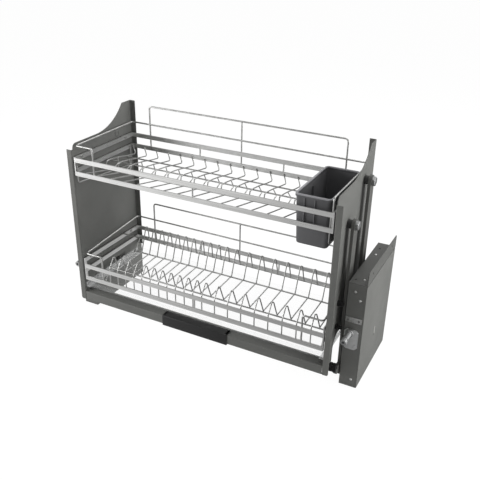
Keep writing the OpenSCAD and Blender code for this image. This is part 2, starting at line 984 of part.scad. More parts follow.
// the two upper screws share the height left over the gauge strip
function over_gauge(s) = gauge_z + gauge_h + (housing_h - gauge_z - gauge_h) * s;
front_screw_places = [
    [housing_in + housing_w * 0.40, over_gauge(0.765)],
    [housing_in + housing_w * 0.69, over_gauge(0.53)],
    [housing_in + housing_w * 0.67, foot_screw_z]];
top_screw_places = [
    [housing_in + housing_w * 0.32, housing_setback + housing_d * 0.70],
    [housing_in + housing_w * 0.66, housing_setback + housing_d * 0.11]];
top_hole_places = [
    [housing_in + housing_w * 0.30, housing_setback + housing_d * 0.86],
    [housing_in + housing_w * 0.22, housing_setback + housing_d * 0.085]];

module right_housing() {
    color([0.33, 0.33, 0.32])
        place()
            housing();
}

module left_housing() {
    color([0.33, 0.33, 0.32])
        place()
            flip_x()
                housing();
}

module cover() {
    t = housing_t;
    y1 = housing_setback + seat_gap;
    difference() {
        union() {
            block([half_w - t, y1, seat_gap],
                [t, housing_d - 2 * seat_gap, housing_h - t - 3 * seat_gap]);
            // lip folded in beside the slot
            block([half_w - t - slot_w * 0.5, pivot_rear_y + slot_w * 0.5,
                    pivot_rear_z - slot_h / 2],
                [slot_w * 0.5 + t, t, slot_h]);
        }
        // slot over the end of the rear shaft
        block([half_w - t - cut, pivot_rear_y - slot_w / 2, pivot_rear_z - slot_h / 2],
            [t + 2 * cut, slot_w, slot_h]);
        for (p = cover_screw_places)
            translate([half_w, p[0], p[1]])
                rotate([0, -90, 0]) {
                    translate([0, 0, -cut])
                        cylinder(d = screw_d + 2 * seat_gap, h = t + 2 * cut);
                }
    }
}

module right_cover() {
    color([0.50, 0.50, 0.48])
        place()
            cover();
}

module left_cover() {
    color([0.50, 0.50, 0.48])
        place()
            flip_x()
                cover();
}

// flush screws that close the cover
module cover_screws() {
    color([0.45, 0.45, 0.44])
        place()
            both()
                for (p = cover_screw_places)
                    bar_x([half_w - housing_t - boss_bore_l + seat_gap, p[0], p[1]], screw_d,
                        housing_t + boss_bore_l - 2 * seat_gap);
}

// pan head screws in the front and top of the housings
module housing_screws() {
    t = housing_t;
    y1 = housing_setback;
    color([0.75, 0.75, 0.75])
        place()
            both() {
                for (p = front_screw_places) {
                    bar_y([p[0], y1 - seat_gap - pan_t, p[1]], pan_d, pan_t);
                    bar_y([p[0], y1 - seat_gap - pan_t, p[1]], screw_d - 2 * seat_gap,
                        pan_t + seat_gap + t + pan_t);
                }
                for (p = top_screw_places) {
                    bar_z([p[0], p[1], housing_h + seat_gap], pan_d, pan_t);
                    bar_z([p[0], p[1], housing_h - t - pan_t], screw_d - 2 * seat_gap,
                        t + pan_t + 2 * seat_gap);
                }
            }
}

// adjuster: its plate, spindle and gauge strip
spindle_core_d = 10;
plate_screw_places = [[plate_x + plate_w * 0.2, plate_low + plate_h * 0.18],
    [plate_x + plate_w * 0.8, plate_low + plate_h * 0.18]];

module plate_outline() {
    c = plate_chamfer;
    polygon([[c, 0], [plate_w - c, 0], [plate_w, c], [plate_w, plate_h - c],
        [plate_w - c, plate_h], [c, plate_h], [0, plate_h - c], [0, c]]);
}

module adjuster_plate() {
    y = housing_setback - seat_gap;
    difference() {
        translate([plate_x, y, plate_low])
            rotate([90, 0, 0])
                linear_extrude(plate_t)
                    plate_outline();
        bar_y([spindle_x, y - plate_t - cut, spindle_z], spindle_core_d + 2 * slide_gap,
            plate_t + 2 * cut);
    }
    for (p = plate_screw_places)
        bar_y([p[0], y - plate_t - pan_t, p[1]], pan_d, pan_t + plate_t / 2);
}

module adjuster_plates() {
    color([0.85, 0.85, 0.86])
        place()
            both()
                adjuster_plate();
}

module adjuster() {
    y = housing_setback - seat_gap - plate_t - slide_gap;
    difference() {
        union() {
            // turned spindle with a grooved neck and a wider end disc
            bar_y([spindle_x, y - spindle_l * 0.72, spindle_z], spindle_d * 0.84, spindle_l * 0.72);
            bar_y([spindle_x, y - spindle_l, spindle_z], spindle_d, spindle_l * 0.24);
            bar_y([spindle_x, y - spindle_l * 0.8, spindle_z], spindle_d * 0.62, spindle_l * 0.2);
            bar_y([spindle_x, y - spindle_d * 0.2, spindle_z], spindle_d, spindle_d * 0.2);
            // core that runs through the plate and the housing's front wall
            bar_y([spindle_x, y - cut, spindle_z], spindle_core_d,
                cylinder_y - seat_gap - y + cut);
        }
        // hexagonal key socket in the end
        translate([spindle_x, y - spindle_l - cut, spindle_z])
            rotate([-90, 0, 0])
                cylinder(d = spindle_d * 0.5, h = spindle_l * 0.16 + cut, $fn = 6);
    }
}

module right_adjuster() {
    color([0.88, 0.88, 0.9])
        place()
            adjuster();
}

module left_adjuster() {
    color([0.88, 0.88, 0.9])
        place()
            flip_x()
                adjuster();
}

module gauge_strip() {
    y = housing_setback - seat_gap;
    difference() {
        block([gauge_x, y - gauge_t, gauge_z], [gauge_w, gauge_t, gauge_h]);
        for (s = gauge_screw_shares)
            bar_y([gauge_x + gauge_w * s, y - gauge_t - cut, gauge_z + gauge_h * 0.5], screw_d,
                gauge_t + 2 * cut);
    }
    for (s = gauge_screw_shares)
        bar_y([gauge_x + gauge_w * s, y - gauge_t - pan_t / 2, gauge_z + gauge_h * 0.5],
            screw_d * 1.4, pan_t / 2 + gauge_t / 2);
}

module gauge_strips() {
    color([0.72, 0.72, 0.72])
        place()
            both()
                gauge_strip();
}

// rubber stops
buffer_d = 14;
buffer_y = arm_front_y - arm_w / 2 - buffer_d / 2 - 2 * slide_gap;
buffer_rises = [99, 166];
bumper_in = panel_in - 2 * panel_t;

// roller on the front arm's nose, which the foot of the rack rests on when closed
module bumper() {
    front_place() {
        bar_x([bumper_in, -nose_reach, bumper_z], bumper_d, arm_in - bumper_in - seat_gap);
        bar_x([bumper_in, -nose_reach, bumper_z], bumper_hole_d, arm_out - bumper_in);
    }
}

module right_bumper() {
    color([0.06, 0.06, 0.06])
        place()
            bumper();
}

module left_bumper() {
    color([0.06, 0.06, 0.06])
        place()
            flip_x()
                bumper();
}

module arm_buffers() {
    color([0.06, 0.06, 0.06])
        place()
            both()
                for (z = buffer_rises) {
                    bar_x([panel_out + seat_gap, buffer_y, rack_lift + z], buffer_d, spacer_t * 0.4);
                    bar_x([panel_out + seat_gap, buffer_y, rack_lift + z], buffer_d * 0.7,
                        spacer_t + arm_t * 0.5);
                }
}

// shelf frames
side_wire_x = frame_in - guard_d / 2 - seat_gap;
corner_r = 8;
guard_y = back_face_y + guard_d / 2 + seat_gap;
front_wire_y = rail_back_y + guard_d / 2 + seat_gap;
front_wire_in = 56;
front_wire_x = frame_in - front_wire_in;
small_post_x = 127;
post_d = guard_d * 0.9;

module flat_x(y, top, x1, x2) {
    block([x1, y, top - rail_h], [x2 - x1, rail_t, rail_h]);
}

module shelf_frame(top, low, side_top) {
    // front rails
    for (z = [top, low])
        flat_x(rail_y, z, -frame_out, frame_out);
    // back bars
    for (z = [side_top, side_top - back_pitch])
        flat_x(back_bar_y, z, -frame_out, frame_out);
    // side bars, drilled for the screws that hold the shelf
    difference() {
        both()
            for (z = [side_top, side_top - back_pitch])
                block([frame_in, rail_y, z - rail_h], [rail_t, back_face_y - rail_y, rail_h]);
        for (s = [-1, 1])
            for (p = shelf_screw_places)
                translate([s * (frame_in + rail_t / 2), p[0], p[1]])
                    rotate([0, 90, 0])
                        cylinder(d = screw_d + 2 * seat_gap, h = rail_t + 2 * cut, center = true);
    }
    // corner posts behind the front rails
    both()
        block([frame_in, rail_y, low - rail_h], [rail_t, rail_h * 0.6, side_top - low + rail_h]);
    // short posts between the back bars and between the front rails
    for (s = [-1, 1])
        bar_z([s * small_post_x, back_bar_y + rail_t / 2, side_top - back_pitch - weld], post_d,
            back_pitch - rail_h + 2 * weld);
    bar_z([0, rail_y + rail_t / 2, low - weld], post_d, rail_pitch - rail_h + 2 * weld);
}

module upper_frame() {
    color([0.72, 0.72, 0.71])
        place()
            shelf_frame(upper_top, upper_low, upper_back);
}

module lower_frame() {
    color([0.72, 0.72, 0.71])
        place()
            shelf_frame(lower_top, lower_low, lower_back);
}

// wire round the sides and back, the tall guard behind and its posts
module shelf_guard(top, low, side_top, front_right) {
    zs = side_top + side_wire_rise;
    zf = top + side_wire_rise;
    xs = side_wire_x;
    yb = back_bar_y + rail_t / 2;
    yf = front_wire_y;
    zg = side_top + guard_rise;
    post_low = side_top - back_pitch - rail_h * 0.5;
    low_end = low - rail_h * 0.3;
    wire(concat(
        [[-front_wire_x, yf, low_end], [-front_wire_x, yf, zf], [-xs, yf, zf],
            [-xs, yb, zs], [xs, yb, zs], [xs, yf, zf]],
        front_right ? [[front_wire_x, yf, zf], [front_wire_x, yf, low_end]]
            : [[xs, yf, low_end]]),
        guard_d, corner_r);
    wire([[-guard_half_w, guard_y, post_low], [-guard_half_w, guard_y, zg],
        [guard_half_w, guard_y, zg], [guard_half_w, guard_y, post_low]], guard_d, corner_r);
    bar_z([0, guard_y, post_low], post_d, zg - post_low);
}

module upper_guard() {
    color([0.78, 0.78, 0.78])
        place()
            shelf_guard(upper_top, upper_low, upper_back, false);
}

module lower_guard() {
    color([0.78, 0.78, 0.78])
        place()
            shelf_guard(lower_top, lower_low, lower_back, true);
}

// places of the end hangers and of the cutlery box beside the right one
hanger_x = frame_in - wire_d / 2 - seat_gap;
hanger_right_x = side_wire_x - guard_d / 2 - wire_d / 2 - seat_gap * 3;
box_gap = 5;
box_side_gap = 1;
box_x2 = hanger_right_x - wire_d / 2 - box_side_gap;
box_x1 = box_x2 - box_w;
box_y1 = front_wire_y + guard_d / 2 + box_gap;
box_top = upper_top + box_rim_rise;
box_low = box_top - box_h;

// bowl rack of the upper shelf
hook_y = back_bar_y - wire_d / 2 - seat_gap;
bowl_end_in = 10;
bowl_x0 = bowl_end_in - frame_in;
bowl_hook_dx = bowl_pitch * 0.2;
bowl_half = bowl_pitch * 0.5;
// as many wires as there is room for on the left of the cutlery box
bowl_n = 1 + floor((box_x1 - bowl_x0 - bowl_half - 2 * wire_d) / bowl_pitch);
bowl_bend = 6;
front_end_y = rail_back_y + wire_d / 2 + seat_gap;
run_l = hook_y - front_end_y;
bowl_zf = upper_low + wire_d / 2 - weld - rail_h * 0.2;
// places along the wire, as shares of the run from front to back, and heights over the front end
valley_share = 0.435;
crest_share = 0.475;
step_h = 18.5;
valley_drop = 22;
crest_z = bowl_zf - valley_drop + step_h;
corner_z = bowl_zf - valley_drop;
brace_d = wire_d * 0.93;
base_d = 4;
bowl_bar_drop = (wire_d + base_d) / 2 - weld;
function along(s) = front_end_y + run_l * s;
bowl_bar_places = [
    [along(0.84), corner_z + step_h * 0.32],
    [along(0.53), crest_z],
    [along(valley_share - 0.008), corner_z]];

module bowl_wire(x) {
    xf = x + bowl_half;
    wire([
        [x - bowl_hook_dx, hook_y, upper_back - back_pitch - rail_h * 0.4],
        [x, hook_y, corner_z],
        [x, along(0.84), corner_z + step_h * 0.32],
        [x, along(0.67), corner_z + step_h * 0.76],
        [x, along(0.53), crest_z],
        [x, along(crest_share - 0.02), crest_z],
        [x, along(valley_share), corner_z],
        [xf, along(valley_share - 0.015), corner_z],
        [xf, along(valley_share - 0.06), corner_z + valley_drop * 0.12],
        [xf, front_end_y, bowl_zf]], wire_d, bowl_bend);
    // brace from the long wire in the valley up to the sloping part behind the crest
    wire([
        [xf, along(valley_share), corner_z - bowl_bar_drop],
        [xf, along(0.565), corner_z + step_h * 0.5],
        [x, along(0.66), corner_z + step_h * 0.78]], brace_d, bowl_bend * 1.5);
}

module bowl_rack() {
    xa = bowl_x0 - wire_d;
    xb = bowl_x0 + (bowl_n - 1) * bowl_pitch + bowl_half + wire_d;
    color([0.75, 0.75, 0.75])
        place() {
            for (i = [0 : bowl_n - 1])
                bowl_wire(bowl_x0 + i * bowl_pitch);
            // long wires under the bowl wires
            for (p = bowl_bar_places)
                bar_x([xa, p[0], p[1] - bowl_bar_drop], base_d, xb - xa);
        }
}

// end hangers and the cradle under the cutlery box
hanger_drop_l = 57;
hanger_drop_r = 67;
hanger_fall = 22;
hanger_back = 12;

module hanger(x, drop) {
    zt = upper_top - rail_h;
    yb = hook_y - hanger_back;
    wire([[x, front_end_y, zt + rail_h * 0.5], [x, front_end_y, zt - drop],
        [x, yb, zt - drop - hanger_fall],
        [x, yb, upper_back - back_pitch - rail_h * 0.4]], wire_d, bowl_bend);
}

module end_hangers() {
    color([0.75, 0.75, 0.75])
        place() {
            hanger(-hanger_x, hanger_drop_l);
            hanger(hanger_right_x, hanger_drop_r);
        }
}

cradle_d = 3.6;
cradle_z = box_low - seat_gap * 3 - cradle_d / 2;

module box_cradle() {
    yf = box_y1 + box_l * 0.22;
    xs = [box_x1 + box_w * 0.3, box_x1 + box_w * 0.7];
    color([0.75, 0.75, 0.75])
        place() {
            for (x = xs)
                wire([[x, yf, cradle_z], [x, hook_y - cradle_d * 0.1, cradle_z],
                    [x, hook_y - cradle_d * 0.1, upper_back - back_pitch - rail_h * 0.4]],
                    cradle_d, bowl_bend);
            bar_x([xs[0] - cradle_d * 2, yf + cradle_d * 2, cradle_z - cradle_d + weld], cradle_d,
                xs[1] - xs[0] + cradle_d * 4);
            bar_x([xs[0] - cradle_d * 2, yf + box_l * 0.5, cradle_z - cradle_d + weld], cradle_d,
                xs[1] - xs[0] + cradle_d * 4);
        }
}

// cutlery box
box_rim_t = 2;
box_rim_h = 8;
box_round = 8;
rib_t = 1.6;

// tapered well with rounded upright edges, widest at the top; d is its inward slope down to z1
arc_steps = 6;
function corner_points(cx, cy, r, from, z) = [
    for (i = [0 : arc_steps])
        [cx + r * cos(from + 90 * i / arc_steps), cy + r * sin(from + 90 * i / arc_steps), z]];
function ring(x1, y1, w, l, r, z) = concat(
    corner_points(x1 + w - r, y1 + l - r, r, 0, z),
    corner_points(x1 + r, y1 + l - r, r, 90, z),
    corner_points(x1 + r, y1 + r, r, 180, z),
    corner_points(x1 + w - r, y1 + r, r, 270, z));

module tub(x1, y1, z1, w, l, h, d, r) {
    low = ring(x1 + d, y1 + d, w - 2 * d, l - 2 * d, r, z1);
    high = ring(x1, y1, w, l, r, z1 + h);
    n = len(low);
    polyhedron(concat(low, high), concat(
        [[for (i = [0 : n - 1]) i]],
        [[for (i = [0 : n - 1]) 2 * n - 1 - i]],
        [for (i = [0 : n - 1]) [i, n + i, (i + 1) % n]],
        [for (i = [0 : n - 1]) [(i + 1) % n, n + i, n + (i + 1) % n]]));
}

// upright rounded bar of rectangular plan
module rounded_bar(x1, y1, z1, w, l, h, r) {
    block([x1 + r, y1, z1], [w - 2 * r, l, h]);
    block([x1, y1 + r, z1], [w, l - 2 * r, h]);
    for (x = [x1 + r, x1 + w - r])
        for (y = [y1 + r, y1 + l - r])
            bar_z([x, y, z1], 2 * r, h);
}

module cutlery_box() {
    t = box_t;
    rm = box_rim_t;
    x1 = box_x1 + rm;
    y1 = box_y1 + rm;
    w = box_w - 2 * rm;
    l = box_l - 2 * rm;
    mid = y1 + l / 2;
    color([0.22, 0.22, 0.23])
        place()
            difference() {
                union() {
                    tub(x1, y1, box_low, w, l, box_h, box_draft, box_round);
                    // rim band
                    rounded_bar(box_x1, box_y1, box_top - box_rim_h, box_w, box_l, box_rim_h,
                        box_round + rm);
                    // ribs down the front face
                    for (s = [0.36, 0.64])
                        block([x1 + w * s - rib_t / 2, y1 - rib_t * 0.6, box_low + box_h * 0.42],
                            [rib_t, l * 0.1, box_h * 0.55]);
                }
                difference() {
                    tub(x1 + t, y1 + t, box_low + t, w - 2 * t, l - 2 * t, box_h,
                        box_draft, box_round - t);
                    // guides for a divider half way along
                    for (xg = [x1 - cut, x1 + w - box_draft - t * 2])
                        block([xg, mid - rib_t * 1.5, box_low],
                            [t * 2 + box_draft + cut, rib_t, box_h * 0.86]);
                    for (xg = [x1 - cut, x1 + w - box_draft - t * 2])
                        block([xg, mid + rib_t * 0.5, box_low],
                            [t * 2 + box_draft + cut, rib_t, box_h * 0.86]);
                }
                // drain holes in the floor
                for (i = [1 : 4])
                    bar_z([x1 + w / 2, y1 + l * i / 5, box_low - cut], box_drain_d, t + 2 * cut);
            }
}

box_drain_d = 6;

// plate rack of the lower shelf: one insert, hung behind the front rails and on the side bars
// places of the two first floor wires, left and right of the middle
plate_x0 = 1.8;
wide_x0 = 32.2;
plate_bend = 2.5;
// room left free at the left end
plate_free = 60;
// how far a tooth stands to the side of its floor wire, as a share of the pitch
tooth_share = 0.32;
plate_n = floor((frame_in - plate_free + plate_x0) / plate_pitch);
plate_left = plate_x0 - plate_n * plate_pitch;
plate_right = frame_in - wire_d - seat_gap;
wide_n = 1 + floor((plate_right - wide_x0 - wide_pitch * tooth_share - wire_d) / wide_pitch);
// ends of the legs behind the lower front rail, and where they lean back
foot_z = lower_low - rail_h * 0.35;
lean_rise = 3.5;
lean_z = lower_top + lean_rise;
// front teeth
tooth_top = lower_top + tooth_h;
tooth_behind = 20;
tooth_y = front_end_y + tooth_behind;
tooth_back = 9;
tooth_w = 2.6;
// floor wires
floor_drop = 7;
floor_rise = 2.5;
floor_front_z = lower_top - floor_drop;
floor_back_z = floor_front_z + floor_rise;
base_behind = 27.5;
base_pitch = 114;
base_front_y = front_end_y + base_behind;
base_back_y = base_front_y + base_pitch;
// back teeth and the rod that they end on, which lies on the side bars
back_tooth_behind = 26;
back_tooth_h = 53;
back_tooth_y = base_back_y + back_tooth_behind;
back_tooth_top = lower_back + back_tooth_h;
back_tooth_w = 2.8;
rest_z = lower_back + base_d / 2 + seat_gap;
rest_behind = 2;
rest_y = back_tooth_y + (wire_d + base_d) / 2 + rest_behind;
rest_half = frame_out - rail_t / 3;

// one wire with a looped tooth at the front and at the back; a tooth stands dx to one side
module plate_wire(x, dx) {
    xf = x - dx;
    xb = x + dx;
    w = tooth_w;
    wb = back_tooth_w;
    wire([
        [xf, front_end_y, foot_z],
        [xf, front_end_y, lean_z],
        [xf, tooth_y - w, tooth_top - tooth_back],
        [xf + w * 0.9, tooth_y, tooth_top],
        [xf + w * 2, tooth_y + w * 0.4, tooth_top - tooth_back],
        [x, base_front_y, floor_front_z],
        [x, base_back_y, floor_back_z],
        [x + wb * 0.3, back_tooth_y - wb, back_tooth_top - tooth_back],
        [x + wb * 1.2, back_tooth_y, back_tooth_top],
        [x + wb * 2.2, back_tooth_y + wb * 0.4, back_tooth_top - tooth_back],
        [xb, rest_y - (wire_d + base_d) / 2 + weld, rest_z]], wire_d, plate_bend);
}

// side wire of the insert, from the front rail under the floor wires to the rod
module plate_side(x) {
    under = wire_d + base_d - 2 * weld;
    wire([
        [x, front_end_y, foot_z],
        [x, base_front_y, floor_front_z - under],
        [x, base_back_y, floor_back_z - under],
        [x, rest_y - (wire_d + base_d) / 2 + weld, rest_z]], wire_d, plate_bend * 2);
}

module plate_rack() {
    drop = (wire_d + base_d) / 2 - weld;
    color([0.75, 0.75, 0.75])
        place() {
            for (i = [0 : plate_n - 1])
                plate_wire(plate_x0 - i * plate_pitch, plate_pitch * tooth_share);
            for (i = [0 : wide_n - 1])
                plate_wire(wide_x0 + i * wide_pitch, wide_pitch * tooth_share);
            // long base wires under the floor wires
            for (p = [[base_front_y, floor_front_z], [base_back_y, floor_back_z]])
                bar_x([plate_left - base_d / 2, p[0], p[1] - drop], base_d,
                    plate_right - plate_left + base_d);
            bar_x([-rest_half, rest_y, rest_z], base_d, 2 * rest_half);
            for (x = [plate_left, plate_right])
                plate_side(x);
        }
}

// drip tray and its runners
// how far the tray's rim lies under the top of the lowest front rail
tray_drop = 18;
tray_top = lower_low - tray_drop;
tray_low = tray_top - tray_h;
runner_t = 1.5;
runner_w = 12;
runner_h = 14;
runner_z = tray_low - runner_t - slide_gap;
tray_half = panel_in - runner_t - 2 * slide_gap;
tray_y1 = rail_y;
tray_y2 = back_bar_y;
runner_y1 = 40;
runner_back = 52;
runner_y2 = panel_d - runner_back;

module drip_tray() {
    t = tray_t;
    color([0.85, 0.88, 0.9, 0.4])
        place()
            difference() {
                block([-tray_half, tray_y1, tray_low], [2 * tray_half, tray_y2 - tray_y1, tray_h]);
                block([-tray_half + t, tray_y1 + t, tray_low + t],
                    [2 * tray_half - 2 * t, tray_y2 - tray_y1 - 2 * t, tray_h]);
            }
}

module tray_runner() {
    difference() {
        union() {
            block([panel_in - seat_gap - runner_w, tray_y1 + rail_t, runner_z],
                [runner_w, tray_y2 - tray_y1 - rail_t, runner_t]);
            block([panel_in - seat_gap - runner_t, tray_y1 + rail_t, runner_z],
                [runner_t, tray_y2 - tray_y1 - rail_t, runner_h]);
        }
        for (y = [runner_y1, runner_y2])
            bar_x([panel_in - runner_t - cut, y, runner_z + runner_h / 2], screw_d + 2 * seat_gap,
                runner_t + cut);
    }
}

module tray_runners() {
    color([0.7, 0.7, 0.7])
        place()
            both() {
                tray_runner();
                for (y = [runner_y1, runner_y2])
                    bar_x([panel_in - runner_t, y, runner_z + runner_h / 2], screw_d,
                        runner_t + panel_t);
            }
}

right_housing();
left_housing();
right_cover();
left_cover();
adjuster_plates();
gauge_strips();
housing_screws();
cover_screws();
shaft_bushings();
lift_cylinders();
right_adjuster();
left_adjuster();
right_front_arm();
right_rear_arm();
left_front_arm();
left_rear_arm();
right_front_shaft();
right_rear_shaft();
left_front_shaft();
left_rear_shaft();
right_sector();
left_sector();
right_rack_rod();
left_rack_rod();
right_panel();
left_panel();
handle_bar();
bar_brackets();
grip();
bar_screws();
pivot_bolts();
pivot_nuts();
pivot_spacers();
right_bumper();
left_bumper();
arm_buffers();
upper_frame();
upper_guard();
bowl_rack();
end_hangers();
box_cradle();
lower_frame();
lower_guard();
plate_rack();
shelf_screws();
tray_runners();
drip_tray();
cutlery_box();
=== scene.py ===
"""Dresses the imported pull-down dish rack with finishes and with detailed small pieces."""

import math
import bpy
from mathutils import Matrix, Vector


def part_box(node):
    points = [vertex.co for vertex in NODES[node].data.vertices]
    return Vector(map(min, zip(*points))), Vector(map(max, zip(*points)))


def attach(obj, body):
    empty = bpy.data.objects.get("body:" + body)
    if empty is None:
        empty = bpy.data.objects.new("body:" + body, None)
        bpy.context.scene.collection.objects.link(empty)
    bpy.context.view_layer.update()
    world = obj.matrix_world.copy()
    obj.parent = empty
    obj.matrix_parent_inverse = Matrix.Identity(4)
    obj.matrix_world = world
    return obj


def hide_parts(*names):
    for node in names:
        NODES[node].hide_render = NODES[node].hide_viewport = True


bl_info = {
    "name": "Pull-down dish rack",
    "version": (1, 0, 0),
    "blender": (4, 5, 0),
    "location": "View3D > Sidebar > Dish Rack",
    "description": "Dresses the packed frame of a pull-down dish rack",
    "category": "Object",
}

import bmesh
import bpy
from bpy.props import FloatProperty, FloatVectorProperty, PointerProperty
from mathutils import Matrix, Vector

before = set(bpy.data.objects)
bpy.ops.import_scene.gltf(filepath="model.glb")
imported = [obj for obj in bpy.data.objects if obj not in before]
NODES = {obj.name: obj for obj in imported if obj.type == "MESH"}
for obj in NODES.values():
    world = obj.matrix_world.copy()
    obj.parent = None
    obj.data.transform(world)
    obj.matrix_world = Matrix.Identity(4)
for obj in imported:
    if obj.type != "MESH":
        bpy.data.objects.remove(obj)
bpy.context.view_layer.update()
MM = 0.001
SIDES = ("right", "left")
# a length too small to see, for comparing places
TINY = 0.001 * MM


# User settings


def colour(name, about, value):
    """A colour that a user would change."""
    return FloatVectorProperty(
        name=name, description=about, default=value, subtype="COLOR", size=3, min=0.0, max=1.0
    )


def length(name, about, value):
    """A size in metres that a user would change."""
    return FloatProperty(name=name, description=about, default=value, unit="LENGTH", min=0.0)


def angle(name, about, degrees):
    """An angle that a user would change."""
    return FloatProperty(name=name, description=about, default=math.radians(degrees), unit="ROTATION")


def light_power(name, about, value):
    """A lamp's power in watts."""
    return FloatProperty(name=name, description=about, default=value, unit="POWER", min=0.0)


class DishRackSizes(bpy.types.PropertyGroup):
    """Sizes of the detail that is added to the frame."""

    sheet: length("Sheet", "Thickness of the handle bar's sheet", 1.5 * MM)
    fold: length("Fold", "Outer radius of the handle bar's folds", 2.6 * MM)
    grip_round: length("Grip round", "Rounding of the moulded grip", 3.2 * MM)
    box_wall: length("Box wall", "Wall of the cutlery box", 2.2 * MM)
    box_corner: length("Box corner", "Corner radius of the cutlery box", 9.0 * MM)
    tray_corner: length("Tray corner", "Corner radius of the drip tray", 6.0 * MM)
    grain: length("Coat grain", "Size of the powder coat's grain", 0.9 * MM)


class DishRackColours(bpy.types.PropertyGroup):
    """Colours of the finishes."""

    coat: colour("Coat", "Powder coat of the panels, housings and bar", (0.155, 0.157, 0.149))
    # painted shade: the arms share the panels' grey coat, and this deeper copy of it paints their shade
    arm: colour("Arm coat", "Powder coat of the lift arms", (0.115, 0.115, 0.109))
    steel: colour("Rail steel", "Brushed stainless rails", (0.76, 0.76, 0.75))
    wire: colour("Wire steel", "Polished stainless wires", (0.56, 0.56, 0.55))
    zinc: colour("Zinc", "Plated screws and shafts", (0.52, 0.52, 0.51))
    chrome: colour("Chrome", "Bolts and adjusters", (0.58, 0.585, 0.585))
    cylinder: colour("Cylinder", "Enamel of the lift cylinders", (0.02, 0.02, 0.021))
    # painted highlight: a pale colour for the slots' lip, standing for the light that it catches
    slot_lip_highlight: colour("Slot lip", "Lip of the slots in the covers", (0.5, 0.5, 0.48))
    bushing: colour("Bushing", "Bushings of the shafts", (0.62, 0.6, 0.52))
    grip: colour("Grip", "Black moulded grip", (0.022, 0.022, 0.022))
    box: colour("Box", "Grey moulded cutlery box", (0.115, 0.115, 0.12))
    rubber: colour("Rubber", "Bumpers and buffers", (0.012, 0.012, 0.012))
    tray: colour("Tray", "Clear drip tray", (0.97, 0.98, 0.98))


class DishRackStage(bpy.types.PropertyGroup):
    """Camera and studio."""

    focal: FloatProperty(name="Focal length", description="Camera lens", default=48.9, unit="CAMERA")
    camera_at: FloatVectorProperty(
        name="Camera", description="Where the camera stands", size=3, unit="LENGTH",
        default=(0.7612, -1.3877, 1.0689),
    )
    yaw: angle("Yaw", "Turn of the view", -27.0)
    pitch: angle("Pitch", "Tilt of the view", -26.5)
    roll: angle("Roll", "Roll of the view", 1.0)
    key: light_power("Key light", "Power of the left front light", 25.0)
    side: light_power("Side light", "Power of the right light", 51.0)
    top: light_power("Top light", "Power of the upper light", 22.0)
    sky: FloatProperty(name="Sky", description="Strength of the even light", default=0.42, min=0.0)


# Shader maths


class Value:
    """A number or a socket in a node tree. Plus, minus and times add Math nodes."""

    def __init__(self, nodes, source):
        self.nodes = nodes
        self.source = source.source if isinstance(source, Value) else source

    def maths(self, operation, *others):
        """Adds a Math node on this value and others."""
        result = self.nodes.node("ShaderNodeMath", {"operation": operation})
        for socket, value in zip(result.source.node.inputs, (self, *others)):
            self.nodes.feed(socket, value)
        return result

    def __add__(self, other):
        return self.maths("ADD", other)

    def __radd__(self, other):
        return Value(self.nodes, other).maths("ADD", self)

    def __sub__(self, other):
        return self.maths("SUBTRACT", other)

    def __rsub__(self, other):
        return Value(self.nodes, other).maths("SUBTRACT", self)

    def __mul__(self, other):
        return self.maths("MULTIPLY", other)

    def __rmul__(self, other):
        return Value(self.nodes, other).maths("MULTIPLY", self)


# output of the Texture Coordinate node that holds Object coordinates
OBJECT_PLACE = 3


class Nodes:
    """A node tree, and the one way in which nodes are added to it."""

    def __init__(self, tree):
        self.tree = tree

    def feed(self, socket, value):
        """Links a value to a socket, or writes it there if it is constant."""
        value = value.source if isinstance(value, Value) else value
        if isinstance(value, bpy.types.NodeSocket):
            self.tree.links.new(value, socket)
        else:
            socket.default_value = value

    def node(self, kind, settings=None, out=0, **sockets):
        """Adds a node. Settings come first, and sockets are named with underscores for spaces."""
        node = self.tree.nodes.new(kind)
        for key, value in (settings or {}).items():
            if key == "stops":
                ramp = node.color_ramp.elements
                while len(ramp) < len(value):
                    ramp.new(0.5)
                for element, (place, tone) in zip(ramp, value):
                    element.position = place
                    element.color = (*tone, 1.0)
            else:
                setattr(node, key, value)
        for key, value in sockets.items():
            self.feed(node.inputs[key.replace("_", " ")], value)
        return Value(self, node.outputs[out])

    def ray(self, kind):
        """Is the ray of a kind, such as Camera?"""
        return self.node("ShaderNodeLightPath", out="Is %s Ray" % kind)

    def mixed(self, factor, first, second):
        """A shader between two shaders."""
        mix = self.node("ShaderNodeMixShader", Fac=factor)
        for socket, shader in zip(mix.source.node.inputs[1:], (first, second)):
            self.feed(socket, shader)
        return mix


